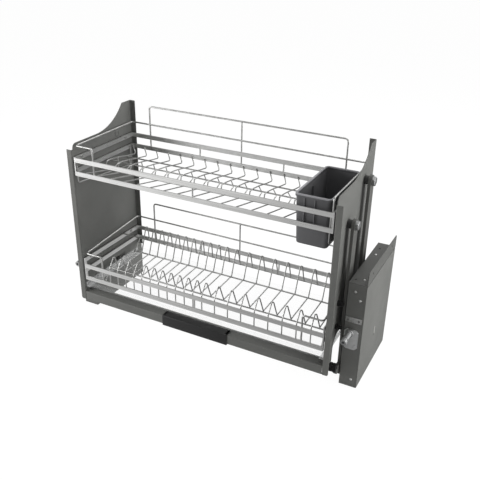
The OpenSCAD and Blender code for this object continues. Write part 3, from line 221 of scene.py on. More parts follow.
class Finish(Nodes):
    """A material and its nodes."""

    def __init__(self, name, **plain):
        self.material = bpy.data.materials.new(name)
        self.material.use_nodes = True
        super().__init__(self.material.node_tree)
        self.shader = self.tree.nodes["Principled BSDF"]
        self.set(**plain)

    def place(self, scale=(1.0, 1.0, 1.0)):
        """Object coordinates, scaled."""
        at = self.node("ShaderNodeTexCoord", out=OBJECT_PLACE)
        return self.node("ShaderNodeMapping", Vector=at, Scale=scale)

    def axis(self, name):
        """One of the Object coordinates in metres."""
        at = self.node("ShaderNodeTexCoord", out=OBJECT_PLACE)
        return self.node("ShaderNodeSeparateXYZ", out=name, Vector=at)

    def noise(self, size, detail=2.0, scale=(1.0, 1.0, 1.0), rough=0.5):
        """Noise with features of about the given size in metres."""
        return self.node(
            "ShaderNodeTexNoise", Vector=self.place(scale), Scale=1.0 / size, Detail=detail, Roughness=rough
        )

    def cells(self, size):
        """Distance to the nearest of scattered points about size metres apart."""
        return self.node("ShaderNodeTexVoronoi", Vector=self.place(), Scale=1.0 / size)

    def band(self, value, low, high, to_low=0.0, to_high=1.0):
        """Maps low..high smoothly onto to_low..to_high."""
        return self.node(
            "ShaderNodeMapRange", {"interpolation_type": "SMOOTHSTEP"}, Value=value,
            From_Min=low, From_Max=high, To_Min=to_low, To_Max=to_high,
        )

    def blend(self, factor, first, second):
        """A colour between two colours."""
        first, second = (tone if isinstance(tone, Value) else (*tone, 1.0) for tone in (first, second))
        return self.node("ShaderNodeMix", {"data_type": "RGBA"}, "Result", Factor=factor, A=first, B=second)

    def bump(self, height, distance, strength):
        """Feeds the shader's normal from a height."""
        self.feed(
            self.shader.inputs["Normal"],
            self.node("ShaderNodeBump", Height=height, Distance=distance, Strength=strength),
        )

    def set(self, **sockets):
        """Feeds the shader's sockets, named with underscores for spaces."""
        for key, value in sockets.items():
            self.feed(self.shader.inputs[key.replace("_", " ")], value)


def shade(tone, factor):
    """A tone made lighter or darker."""
    return tuple(min(1.0, c * factor) for c in tone)


# Finishes


def powder_coat(name, tone, grain, metallic=0.1, rough=0.5, painted_shade_z=None):
    """Fine textured powder coat with a metallic fleck and soft mottling; above a given height it is painted
    a little darker as shade.
    """
    f = Finish(name, Metallic=metallic, Specular_IOR_Level=0.3)
    fleck = f.cells(size=grain * 0.55)
    mottle = f.noise(size=90 * MM, detail=3.0)
    grit = f.noise(size=grain)
    rub = f.noise(size=35 * MM, detail=4.0, rough=0.6)
    light = f.band(fleck, 0.0, 0.35, 1.0, 0.0)
    base = f.blend(f.band(mottle, 0.3, 0.7), shade(tone, 0.95), shade(tone, 1.05))
    # painted shade: above this height, on the housing's mounting tab, the coat is darkened for the shade
    # that falls there
    if painted_shade_z is not None:
        edge = f.band(f.axis("Z"), painted_shade_z, painted_shade_z + 0.8 * MM)
        base = f.blend(edge, base, shade(tone, 0.78))
    f.set(Base_Color=f.blend(light * 0.35, base, shade(tone, 1.5)))
    f.set(Roughness=rough + (rub - 0.5) * 0.12 - light * 0.08)
    f.bump(grit * 0.7 + fleck * 0.3, distance=grain * 0.06, strength=0.5)
    return f.material


def brushed_steel(name, tone, rough=0.3):
    """Brushed stainless bar: fine lines along its length, with a few deeper ones."""
    f = Finish(name, Metallic=1.0)
    fine = f.noise(size=MM, detail=3.0, scale=(0.012, 0.012, 1.4), rough=0.7)
    broad = f.noise(size=MM, scale=(0.004, 0.004, 0.35))
    cloud = f.noise(size=60 * MM)
    lines = fine * 0.65 + broad * 0.35
    f.set(Base_Color=f.blend(f.band(lines, 0.32, 0.68), shade(tone, 0.84), shade(tone, 1.12)))
    f.set(Roughness=rough + (lines - 0.5) * 0.22 + (cloud - 0.5) * 0.08)
    f.bump(lines, distance=0.06 * MM, strength=0.45)
    return f.material


def polished_wire(name, tone, rough=0.38):
    """Electropolished wire: soft bright steel with faint drawing marks and cloudy spots."""
    f = Finish(name, Metallic=1.0)
    marks = f.noise(size=0.9 * MM)
    cloud = f.noise(size=22 * MM, detail=3.0, rough=0.6)
    f.set(Base_Color=f.blend(f.band(cloud, 0.3, 0.7), shade(tone, 0.86), shade(tone, 1.1)))
    f.set(Roughness=rough + (cloud - 0.5) * 0.16 + (marks - 0.5) * 0.06)
    f.bump(marks, distance=0.02 * MM, strength=0.15)
    return f.material


def plated(name, tone, rough=0.32):
    """Plated steel of screws and shafts, with turning marks and slight dulling."""
    f = Finish(name, Metallic=1.0)
    dull = f.noise(size=4 * MM, detail=3.0)
    fine = f.noise(size=0.5 * MM)
    f.set(Base_Color=f.blend(f.band(dull, 0.35, 0.65), shade(tone, 0.85), shade(tone, 1.1)))
    f.set(Roughness=rough + (dull - 0.5) * 0.2)
    f.bump(fine, distance=0.03 * MM, strength=0.4)
    return f.material


def bright_chrome(name, tone, rough):
    """Bright chrome over a slightly uneven ground."""
    f = Finish(name, Metallic=1.0)
    haze = f.noise(size=12 * MM, detail=3.0)
    wave = f.noise(size=4 * MM, detail=1.0)
    f.set(Base_Color=f.blend(f.band(haze, 0.3, 0.7), shade(tone, 0.94), shade(tone, 1.04)))
    f.set(Roughness=rough + (haze - 0.5) * 0.1)
    f.bump(wave, distance=0.04 * MM, strength=0.25)
    return f.material


def moulded(name, tone, grain=0.6 * MM, rough=0.5, rim_z=None):
    """Moulded plastic with a spark-eroded grain and soft flow marks; above rim_z it is painted lighter as a
    highlight.
    """
    f = Finish(name, Specular_IOR_Level=0.4)
    spark = f.noise(size=grain, detail=3.0, rough=0.65)
    flow = f.noise(size=50 * MM, scale=(1.0, 1.0, 0.35))
    base = f.blend(f.band(flow, 0.3, 0.7), shade(tone, 0.93), shade(tone, 1.08))
    # painted highlight: the band above rim_z is lightened, broken a little by the grain, for the light on
    # the rim's top
    if rim_z is not None:
        painted_highlight = f.band(f.axis("Z"), rim_z, rim_z + 0.6 * MM)
        base = f.blend(painted_highlight * (0.75 + (spark - 0.5) * 0.3), base, shade(tone, 3.6))
    f.set(Base_Color=base)
    f.set(Roughness=rough + (spark - 0.5) * 0.16 + (flow - 0.5) * 0.1)
    f.bump(spark, distance=0.05 * MM, strength=0.6)
    return f.material


def rubber(name, tone):
    """Matt rubber with a dusty bloom."""
    f = Finish(name, Specular_IOR_Level=0.3)
    bloom = f.noise(size=6 * MM, detail=4.0, rough=0.6)
    fine = f.noise(size=0.5 * MM)
    f.set(Base_Color=f.blend(f.band(bloom, 0.45, 0.75), tone, shade(tone, 2.4)))
    f.set(Roughness=0.72 + (bloom - 0.5) * 0.2)
    f.bump(fine, distance=0.05 * MM, strength=0.5)
    return f.material


def clear_plastic(name, tone, alpha=0.05):
    """Clear moulded plastic: nearly invisible, with a faint haze."""
    f = Finish(name, IOR=1.49, Specular_IOR_Level=0.2)
    haze = f.noise(size=30 * MM, detail=3.0)
    wave = f.noise(size=30 * MM, detail=1.0)
    f.set(Base_Color=f.blend(haze, shade(tone, 0.97), tone))
    f.set(Roughness=0.3 + haze * 0.15, Alpha=alpha + (haze - 0.5) * 0.03)
    f.bump(wave, distance=0.05 * MM, strength=0.15)
    return f.material


def both(*names):
    """Names of the right and the left one of each piece."""
    return [side + "_" + name for side in SIDES for name in names]


def dress(material, *names):
    """Gives CAD nodes a finish."""
    for name in names:
        data = NODES[name].data
        data.materials.clear()
        data.materials.append(material)


# Modelling helpers

MIRROR = Matrix.Diagonal((-1.0, 1.0, 1.0, 1.0))
AXES = {"X": Vector((1.0, 0.0, 0.0)), "Y": Vector((0.0, 1.0, 0.0)), "Z": Vector((0.0, 0.0, 1.0))}
QUARTER = math.pi / 2
# how a bar and a circle are turned from Z onto each axis
BAR_TURNS = {"X": (0.0, QUARTER, 0.0), "Y": (QUARTER, 0.0, 0.0), "Z": (0.0, 0.0, 0.0)}
CIRCLE_TURNS = {"X": (QUARTER, 0.0, QUARTER), "Y": (-QUARTER, 0.0, 0.0), "Z": (0.0, 0.0, 0.0)}
# how squarely a face looks along an axis, and how straight an edge runs along one
FACING = 0.9
STRAIGHT = 0.99
# the least angle of an edge that counts as sharp, in radians
SHARP = 0.8
# how far a fold's bevel reaches, as a share of its outer radius
FOLD_SHARE = 0.6
# width of a cross recess's bars, as a share of their length
CROSS_BAR_SHARE = 0.3


def clear_selection():
    """Deselects everything."""
    for item in bpy.context.selected_objects:
        item.select_set(False)


def settle(name, material):
    """Names the piece just added, puts its place into its mesh and gives it a finish."""
    piece = bpy.context.object
    piece.name = piece.data.name = name
    bpy.ops.object.transform_apply(location=True, rotation=True, scale=True)
    piece.data.materials.clear()
    piece.data.materials.append(material)
    return piece


def block(name, low, high, material):
    """A block between two corners."""
    clear_selection()
    low, high = Vector(low), Vector(high)
    bpy.ops.mesh.primitive_cube_add(size=1.0, location=(low + high) / 2, scale=high - low)
    return settle(name, material)


def rod(name, centre, axis, radius, depth, material, sides):
    """A round or many-sided bar about a centre."""
    clear_selection()
    bpy.ops.mesh.primitive_cylinder_add(
        vertices=sides, radius=radius, depth=depth, location=centre, rotation=BAR_TURNS[axis]
    )
    return settle(name, material)


class Editing:
    """Edit mode on one piece, with faces or edges picked by a test."""

    def __init__(self, piece, mode="EDGE"):
        self.piece = piece
        self.mode = mode

    def __enter__(self):
        clear_selection()
        bpy.context.view_layer.objects.active = self.piece
        self.piece.select_set(True)
        bpy.ops.object.mode_set(mode="EDIT")
        bpy.ops.mesh.select_mode(type=self.mode)
        bpy.ops.mesh.select_all(action="DESELECT")
        return self

    def __exit__(self, *_):
        bpy.ops.object.mode_set(mode="OBJECT")

    def pick(self, test):
        """Selects the faces or edges that pass a test, and no others."""
        bpy.ops.mesh.select_all(action="DESELECT")
        mesh = bmesh.from_edit_mesh(self.piece.data)
        mesh.normal_update()
        for item in mesh.faces if self.mode == "FACE" else mesh.edges:
            if test(item):
                item.select_set(True)
        mesh.select_flush_mode()
        bmesh.update_edit_mesh(self.piece.data)


def runs_along(axis):
    """A test for the edges that run along an axis."""
    def test(edge):
        way = (edge.verts[1].co - edge.verts[0].co).normalized()
        return abs(way["XYZ".index(axis)]) > STRAIGHT
    return test


def is_upright(rise):
    """A test for the edges that rise by more than a height, also where they lean."""
    return lambda edge: abs(edge.verts[0].co.z - edge.verts[1].co.z) > rise


def round_foot(foot_z):
    """A test for the sharp edges round the foot of an open shell that stands at a height."""
    def test(edge):
        low = max(v.co.z for v in edge.verts) < foot_z + 100 * TINY
        return low and len(edge.link_faces) == 2 and edge.calc_face_angle() > SHARP
    return test


def opened(piece, below=False):
    """Deletes a block's upper face, and its lower one too if asked."""
    with Editing(piece, "FACE") as edit:
        edit.pick(lambda face: face.normal.z > FACING or (below and face.normal.z < -FACING))
        bpy.ops.mesh.delete(type="FACE")


def rounded(piece, width, test, steps):
    """Rounds the edges that pass a test."""
    with Editing(piece) as edit:
        edit.pick(test)
        bpy.ops.mesh.bevel(offset=width, offset_type="OFFSET", segments=steps, affect="EDGES")
    return piece


def modify(piece, kind, **settings):
    """Adds a modifier and applies it."""
    clear_selection()
    bpy.context.view_layer.objects.active = piece
    piece.select_set(True)
    item = piece.modifiers.new(kind.title(), kind)
    for key, value in settings.items():
        setattr(item, key, value)
    bpy.ops.object.modifier_apply(modifier=item.name)
    return piece


def smooth(piece, degrees=35.0):
    """Smooth shading that keeps sharp edges."""
    clear_selection()
    bpy.context.view_layer.objects.active = piece
    piece.select_set(True)
    bpy.ops.object.shade_smooth_by_angle(angle=math.radians(degrees))
    return piece


def joined(name, pieces):
    """One piece from several."""
    clear_selection()
    for piece in pieces:
        piece.select_set(True)
    bpy.context.view_layer.objects.active = pieces[0]
    if len(pieces) > 1:
        bpy.ops.object.join()
    pieces[0].name = pieces[0].data.name = name
    return pieces[0]


def mirrored(piece, name):
    """A copy on the other side with its own mesh, whose faces are turned the right way round again."""
    clear_selection()
    bpy.context.view_layer.objects.active = piece
    piece.select_set(True)
    bpy.ops.object.duplicate(linked=False)
    twin = bpy.context.object
    twin.name = twin.data.name = name
    twin.data.transform(MIRROR)
    twin.data.flip_normals()
    return twin


def walled(piece, thick):
    """Gives an open shell a wall, inwards from its outer face."""
    return modify(piece, "SOLIDIFY", thickness=thick, offset=-1.0, use_even_offset=True)


def softened(piece, width, steps=2, degrees=40.0):
    """Small rounds on all sharp edges, and smooth shading."""
    modify(piece, "BEVEL", width=width, segments=steps, limit_method="ANGLE",
           angle_limit=math.radians(degrees), use_clamp_overlap=True)
    return smooth(piece)


def folded_sheet(name, path, ends, thick, fold, material):
    """A sheet folded along X: its outer face follows a path of (y, z) points, and it thickens inwards."""
    (y0, z0), (y1, z1) = path[:2]
    clear_selection()
    bpy.ops.mesh.primitive_plane_add(
        size=1.0, location=((ends[0] + ends[1]) / 2, (y0 + y1) / 2, (z0 + z1) / 2),
        rotation=(math.atan2(z1 - z0, y1 - y0), 0.0, 0.0),
    )
    bpy.context.object.scale = (ends[1] - ends[0], math.hypot(y1 - y0, z1 - z0), 1.0)
    piece = settle(name, material)

    def on(point):
        return lambda edge: all(math.dist((v.co.y, v.co.z), point) < TINY for v in edge.verts)

    with Editing(piece) as edit:
        for last, point in zip(path[1:], path[2:]):
            edit.pick(on(last))
            bpy.ops.mesh.extrude_region_move(
                TRANSFORM_OT_translate={"value": (0.0, point[0] - last[0], point[1] - last[1])}
            )
        edit.pick(lambda edge: any(on(point)(edge) for point in path[1:-1]))
        bpy.ops.mesh.bevel(offset=fold * FOLD_SHARE, offset_type="OFFSET", segments=5, affect="EDGES")
        bpy.ops.mesh.select_all(action="SELECT")
        bpy.ops.mesh.normals_make_consistent(inside=False)
    return walled(piece, thick)


def turned(name, centre, axis, outline, material, sides=40):
    """A turned piece: (distance along the axis, radius) rings, one after another."""
    way, (d0, r0) = AXES[axis], outline[0]
    clear_selection()
    bpy.ops.mesh.primitive_circle_add(
        vertices=sides, radius=r0, fill_type="NGON", location=centre + way * d0,
        rotation=CIRCLE_TURNS[axis],
    )
    piece = settle(name, material)
    with Editing(piece, "FACE") as edit:
        edit.pick(lambda face: True)
        for (d, r), (last_d, last_r) in zip(outline[1:], outline):
            bpy.ops.mesh.extrude_region_move(TRANSFORM_OT_translate={"value": way * (d - last_d)})
            bpy.ops.transform.resize(value=(r / last_r,) * 3, center_override=centre + way * d)
        bpy.ops.mesh.select_all(action="SELECT")
        bpy.ops.mesh.normals_make_consistent(inside=False)
    return smooth(piece)


def cut_with(piece, cutter):
    """Takes a cutter's shape out of a piece."""
    modify(piece, "BOOLEAN", object=cutter, operation="DIFFERENCE", solver="EXACT")
    remove(cutter)
    return piece


def cross_recess(head, centre, axis, reach, size, material):
    """Cuts a cross into a screw head that looks along Y or Z."""
    bar = size * CROSS_BAR_SHARE
    for wide, high in ((size, bar), (bar, size)):
        half = Vector((wide, reach, high) if axis == "Y" else (wide, high, reach)) / 2
        cut_with(head, block("bar", centre - half, centre + half, material))
    return head


def finish_piece(piece, body, node):
    """Parents a finished piece to its body's empty and hides the CAD node in whose place it stands."""
    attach(piece, body)
    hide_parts(node)


def remove(piece):
    """Deletes a piece."""
    bpy.data.objects.remove(piece)


def cad(name):
    """Lowest and highest corner of a CAD node."""
    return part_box(name)


def solids(name):
    """Boxes of the separate solids of a CAD node, sorted by place."""
    mesh = bmesh.new()
    mesh.from_mesh(NODES[name].data)
    bmesh.ops.remove_doubles(mesh, verts=mesh.verts, dist=TINY)
    left, boxes = set(mesh.verts), []
    while left:
        seed = left.pop()
        group, todo = [seed], [seed]
        while todo:
            for edge in todo.pop().link_edges:
                for v in edge.verts:
                    if v in left:
                        left.remove(v)
                        group.append(v)
                        todo.append(v)
        low = Vector([min(v.co[i] for v in group) for i in range(3)])
        high = Vector([max(v.co[i] for v in group) for i in range(3)])
        boxes.append((low, high))
    mesh.free()
    return sorted(boxes, key=lambda b: tuple(round(c, 4) for c in b[0]))


# Operators


class RackOperator(bpy.types.Operator):
    """Shared by the operators below."""

    bl_options = {"REGISTER", "UNDO"}

    @property
    def sizes(self):
        return bpy.context.scene.dish_rack_sizes

    @property
    def tones(self):
        return bpy.context.scene.dish_rack_colours


class DISHRACK_OT_coats(RackOperator):
    """Powder coat on the panels, housings and arms, and enamel on the lift cylinders"""

    bl_idname = "dish_rack.coats"
    bl_label = "Powder coats"

    def execute(self, context):
        grain, tones = self.sizes.grain, self.tones
        tab_foot = cad("right_cover")[1][2]
        dress(powder_coat("powder coat", tones.coat, grain), *both("panel"))
        # the housing coat gets painted shade on the mounting tab above the cover's top
        dress(powder_coat("housing coat", tones.coat, grain, painted_shade_z=tab_foot), *both("housing"))
        # the arms' deeper coat is painted shade
        dress(powder_coat("arm coat", tones.arm, grain), *both("front_arm", "rear_arm"))
        enamel = powder_coat("cylinder enamel", tones.cylinder, grain * 2, metallic=0.0, rough=0.3)
        dress(enamel, "lift_cylinders")
        return {"FINISHED"}


class DISHRACK_OT_steel(RackOperator):
    """Brushed rails, polished wires and plated parts"""

    bl_idname = "dish_rack.steel"
    bl_label = "Steel finishes"

    def execute(self, context):
        tones = self.tones
        dress(brushed_steel("brushed rail", tones.steel), "upper_frame", "lower_frame")
        dress(polished_wire("polished wire", tones.wire), "upper_guard", "lower_guard", "bowl_rack",
              "end_hangers", "box_cradle", "plate_rack")
        dress(plated("zinc plate", tones.zinc), "shelf_screws", "bar_brackets", "bar_screws",
              "cover_screws", *both("front_shaft", "rear_shaft", "sector", "rack_rod"))
        return {"FINISHED"}


class DISHRACK_OT_plastics(RackOperator):
    """Moulded plastics and rubber"""

    bl_idname = "dish_rack.plastics"
    bl_label = "Plastic finishes"

    def execute(self, context):
        tones = self.tones
        dress(moulded("spacer plastic", shade(tones.grip, 1.8)), "pivot_spacers")
        dress(moulded("bushing plastic", tones.bushing, rough=0.35), "shaft_bushings")
        dress(rubber("black rubber", tones.rubber), "arm_buffers")
        dress(clear_plastic("runner plastic", tones.tray, alpha=0.3), "tray_runners")
        return {"FINISHED"}


class DISHRACK_OT_handle_bar(RackOperator):
    """Folded handle bar with its raised lip"""

    bl_idname = "dish_rack.handle_bar"
    bl_label = "Handle bar"

    lip_rise = 3.0 * MM
    foot_fold = 7.5 * MM
    flange_foot = 14 * MM
    # rounds of the sheet's edges, as shares of its thickness
    channel_edge_share = 0.25
    flange_edge_share = 0.45

    def execute(self, context):
        (x0, y0, z0), (x1, y1, z1) = cad("handle_bar")
        sheet, fold = self.sizes.sheet, self.sizes.fold
        top = z1 - self.lip_rise
        coat = powder_coat("bar coat", self.tones.coat, self.sizes.grain)
        path = [(y0 + self.foot_fold, z0), (y0, z0), (y0, top), (y1 - sheet / 2, top)]
        channel = folded_sheet("channel", path, (x0, x1), sheet, fold, coat)
        flange = block("flange", (x0, y1 - sheet, z0 + self.flange_foot), (x1, y1, z1), coat)
        softened(channel, sheet * self.channel_edge_share)
        softened(flange, sheet * self.flange_edge_share, steps=3)
        finish_piece(joined("handle_bar_sheet", [channel, flange]), "rack", "handle_bar")
        return {"FINISHED"}


class DISHRACK_OT_grip(RackOperator):
    """Moulded grip that wraps the handle bar, with a low pad at each end"""

    bl_idname = "dish_rack.grip"
    bl_label = "Grip"

    wall = 2.9 * MM
    edge = 0.9 * MM
    foot_fold = 12 * MM
    pad_long = 6 * MM
    pad_in = 4 * MM
    pad_thick = 1.2 * MM
    pad_edge = 0.5 * MM

    def execute(self, context):
        (x0, y0, z0), (x1, y1, z1) = cad("grip")
        skin = moulded("grip plastic", self.tones.grip, grain=0.8 * MM, rough=0.4)
        path = [(y0 + self.foot_fold, z0), (y0, z0), (y0, z1), (y1, z1)]
        wrap = folded_sheet("wrap", path, (x0, x1), self.wall, self.sizes.grip_round, skin)
        softened(wrap, self.edge, steps=3)
        modify(wrap, "WELD", merge_threshold=10 * TINY)
        pads = []
        for low, high in ((x0, x0 + self.pad_long), (x1 - self.pad_long, x1)):
            pad = block("pad", (low, y0 + self.pad_in, z1 - self.pad_thick), (high, y1, z1), skin)
            pads.append(softened(pad, self.pad_edge))
        finish_piece(joined("moulded_grip", [wrap, *pads]), "rack", "grip")
        return {"FINISHED"}


class DISHRACK_OT_cutlery_box(RackOperator):
    """Tapered cutlery box with a rim, ribs, divider guides and drain holes"""

    bl_idname = "dish_rack.cutlery_box"
    bl_label = "Cutlery box"

    rim = 2.0 * MM
    rim_drop = 0.6 * MM
    rim_high = 8 * MM
    rim_edge = 1.2 * MM
    rim_wall_share = 1.15
    # depth of the band under the rim's top that gets the painted highlight
    highlight_band_high = 3.4 * MM
    draft = 4.5 * MM
    foot_round = 4 * MM
    lip_round = 0.5 * MM
    rib_shares = (0.27, 0.56)
    rib_foot_share = 0.46
    rib_half = 1.2 * MM
    rib_out = 1.8 * MM
    rib_in = 2.5 * MM
    rib_drop = 6 * MM
    rib_edge = 0.4 * MM
    cross_out = 0.5 * MM
    cross_in = 2.8 * MM
    cross_high = 1.8 * MM
    guide_gap = 2.4 * MM
    guide_thick = 1.4 * MM
    guide_foot = 2 * MM
    guide_drop = 18 * MM
    guide_edge = 0.3 * MM
    hole_n = 4
    hole_r = 3 * MM
    hole_reach = 12 * MM

    def execute(self, context):
        (x0, y0, z0), (x1, y1, z1) = cad("cutlery_box")
        wall, corner, rim = self.sizes.box_wall, self.sizes.box_corner, self.rim
        skin = moulded("box plastic", self.tones.box, rim_z=z1 - self.highlight_band_high)
        low = Vector((x0 + rim, y0 + rim, z0))
        high = Vector((x1 - rim, y1 - rim, z1 - self.rim_drop))
        shell = self.shell(low, high, skin)
        band = self.rim_band((x0, y0, z1 - self.rim_high), (x1, y1, z1), corner + rim,
                             rim + wall * self.rim_wall_share, skin)
        # painted highlight: the ribs get a lighter copy of the box plastic for the light on their edges
        painted_highlight = moulded("rib plastic", shade(self.tones.box, 1.5))
        extras = [self.rib(low, high, share, painted_highlight) for share in self.rib_shares]
        extras.append(self.cross_rib(low, high, painted_highlight))
        extras += self.guides(low, high, wall, skin)
        box = joined("cutlery_box_moulded", [shell, band, *extras])
        finish_piece(box, "box", "cutlery_box")
        return {"FINISHED"}

    def shell(self, low, high, skin):
        """Tapered shell with round corners, an open mouth and a row of drain holes."""
        shell = block("shell", low, high, skin)
        span, centre = high - low, (low + high) / 2
        with Editing(shell, "FACE") as edit:
            edit.pick(lambda face: face.normal.z < -FACING)
            bpy.ops.transform.resize(
                value=(1 - 2 * self.draft / span.x, 1 - 2 * self.draft / span.y, 1.0),
                center_override=(centre.x, centre.y, low.z),
            )
        rounded(shell, self.sizes.box_corner, is_upright(span.z / 2), steps=6)
        opened(shell)
        rounded(shell, self.foot_round, round_foot(low.z), steps=4)
        walled(shell, self.sizes.box_wall)
        softened(shell, self.lip_round)
        pitch = span.y / (self.hole_n + 1)
        places = [Vector((centre.x, low.y + pitch * (i + 1), low.z)) for i in range(self.hole_n)]
        holes = [rod("hole", at, "Z", self.hole_r, self.hole_reach, skin, sides=24) for at in places]
        cut_with(shell, joined("holes", holes))
        return smooth(shell)

    def rim_band(self, low, high, corner, thick, skin):
        """Rim band round the mouth."""
        band = block("rim", low, high, skin)
        rounded(band, corner, runs_along("Z"), steps=6)
        opened(band, below=True)
        return softened(walled(band, thick), self.rim_edge, steps=3)

    def rib(self, low, high, share, skin):
        """Rib down the upper half of the front."""
        x = low.x + (high.x - low.x) * share
        foot = low.z + (high.z - low.z) * self.rib_foot_share
        rib = block("rib", (x - self.rib_half, low.y - self.rib_out, foot),
                    (x + self.rib_half, low.y + self.rib_in, high.z - self.rib_drop), skin)
        return softened(rib, self.rib_edge)

    def cross_rib(self, low, high, skin):
        """Short rib that joins the feet of the two ribs."""
        left, right = (low.x + (high.x - low.x) * share for share in self.rib_shares)
        z = low.z + (high.z - low.z) * self.rib_foot_share
        rib = block("rib", (left, low.y - self.cross_out, z),
                    (right, low.y + self.cross_in, z + self.cross_high), skin)
        return softened(rib, self.rib_edge)

    def guides(self, low, high, wall, skin):
        """Pairs of strips that hold a divider half way along."""
        middle, draft, thick = (low.y + high.y) / 2, self.draft, self.guide_thick
        foot, top = low.z + self.guide_foot, high.z - self.guide_drop
        strips = []
        for x in (low.x + wall, high.x - wall - draft):
            for y in (middle - self.guide_gap / 2 - thick, middle + self.guide_gap / 2):
                strip = block("guide", (x, y, foot), (x + draft, y + thick, top), skin)
                strips.append(softened(strip, self.guide_edge))
        return strips


class DISHRACK_OT_drip_tray(RackOperator):
    """Clear drip tray with rounded corners"""

    bl_idname = "dish_rack.drip_tray"
    bl_label = "Drip tray"

    wall = 1.6 * MM
    foot_round = 3 * MM
    edge = 0.35 * MM

    def execute(self, context):
        low, high = cad("drip_tray")
        skin = clear_plastic("clear plastic", self.tones.tray)
        shell = block("clear_drip_tray", low, high, skin)
        rounded(shell, self.sizes.tray_corner, runs_along("Z"), steps=5)
        opened(shell)
        rounded(shell, self.foot_round, round_foot(low[2]), steps=3)
        softened(walled(shell, self.wall), self.edge)
        finish_piece(shell, "tray", "drip_tray")
        return {"FINISHED"}


class DISHRACK_OT_adjusters(RackOperator):
    """Turned adjuster spindles with a key socket in the end"""

    bl_idname = "dish_rack.adjusters"
    bl_label = "Adjusters"

    nose = 0.9 * MM
    nose_share = 0.86
    # places as shares of the stem's length, with radii as shares of the nose's
    stem_shares = ((0.2, 1.0), (0.23, 0.62), (0.3, 0.62), (0.33, 0.92), (0.84, 0.92), (0.86, 1.3),
                   (0.96, 1.36), (1.0, 1.25))
    core_r = 5.0 * MM
    socket_share = 0.5
    socket_depth_share = 0.3
    edge = 0.3 * MM

    def execute(self, context):
        steel = bright_chrome("adjuster chrome", shade(self.tones.chrome, 0.85), rough=0.6)
        (x0, y0, z0), (x1, y1, z1) = cad("right_adjuster")
        radius = (x1 - x0) / 2
        start = Vector(((x0 + x1) / 2, y0, (z0 + z1) / 2))
        stem = solids("adjuster_plates")[-1][0].y - y0
        outline = [(0.0, radius * self.nose_share), (self.nose, radius)]
        outline += [(stem * along, radius * out) for along, out in self.stem_shares]
        outline += [(stem, self.core_r), (y1 - y0, self.core_r)]
        spindle = turned("right_spindle", start, "Y", outline, steel)
        cut_with(spindle, rod("socket", start, "Y", radius * self.socket_share,
                              stem * self.socket_depth_share, steel, sides=6))
        softened(spindle, self.edge, degrees=30.0)
        twin = mirrored(spindle, "left_spindle")
        finish_piece(spindle, "right_adjuster_body", "right_adjuster")
        finish_piece(twin, "left_adjuster_body", "left_adjuster")
        return {"FINISHED"}


class DISHRACK_OT_plates(RackOperator):
    """Bevelled adjuster plates and gauge strips with their screws"""

    bl_idname = "dish_rack.plates"
    bl_label = "Plates and gauge strips"

    plate_thick = 2.0 * MM
    plate_corner = 7 * MM
    plate_edge = 0.45 * MM
    plate_screw_r = 3.4 * MM
    plate_screw_shares = (0.2, 0.8)
    plate_screw_rise_share = 0.18
    strip_thick = 1.2 * MM
    strip_edge = 0.35 * MM
    strip_screw_r = 2.9 * MM
    strip_screw_shares = (0.17, 0.83)
    head_seat = 0.3 * MM
    recess_deep = 1.4 * MM
    # the head's flat as a share of its radius, and how soon it is full as a share of its height
    head_flat_share = 0.7
    head_full_share = 0.4
    recess_share = 1.2

    def execute(self, context):
        tones = self.tones
        steel = bright_chrome("plate steel", shade(tones.chrome, 1.35), rough=0.5)
        satin = plated("gauge aluminium", shade(tones.steel, 0.85), rough=0.5)
        # painted shade: the cross recesses of the plate and strip screws get a darkened copy of the zinc
        painted_recess_shade = plated("screw recess", shade(tones.zinc, 0.3), rough=0.5)
        # the gauge strips' screws get a darker zinc than the other screws
        dim_zinc = plated("gauge screw", shade(tones.zinc, 0.55), rough=0.5)
        plates, strips = [], []
        for low, high in solids("adjuster_plates"):
            front, z = high.y - self.plate_thick, low.z + (high.z - low.z) * self.plate_screw_rise_share
            plate = block("plate", (low.x, front, low.z), high, steel)
            rounded(plate, self.plate_corner, runs_along("Y"), steps=1)
            plates.append(softened(plate, self.plate_edge, degrees=30.0))
            for share in self.plate_screw_shares:
                at = Vector((low.x + (high.x - low.x) * share, low.y, z))
                plates.append(self.screw(at, self.plate_screw_r, front - low.y, steel, painted_recess_shade))
        for low, high in solids("gauge_strips"):
            front, z = high.y - self.strip_thick, (low.z + high.z) / 2
            strips.append(softened(block("strip", (low.x, front, low.z), high, satin), self.strip_edge))
            for share in self.strip_screw_shares:
                at = Vector((low.x + (high.x - low.x) * share, low.y, z))
                strips.append(self.screw(at, self.strip_screw_r, front - low.y, dim_zinc, painted_recess_shade))
        finish_piece(joined("adjuster_plate_set", plates), "frame", "adjuster_plates")
        finish_piece(joined("gauge_strip_set", strips), "frame", "gauge_strips")
        return {"FINISHED"}

    def screw(self, at, radius, high, metal, painted_recess_shade):
        """Low screw head whose cross recess is in painted shade."""
        outline = [(0.0, radius * self.head_flat_share), (high * self.head_full_share, radius),
                   (high + self.head_seat, radius)]
        head = turned("head", at, "Y", outline, metal, sides=24)
        return cross_recess(head, at, "Y", self.recess_deep, radius * self.recess_share, painted_recess_shade)


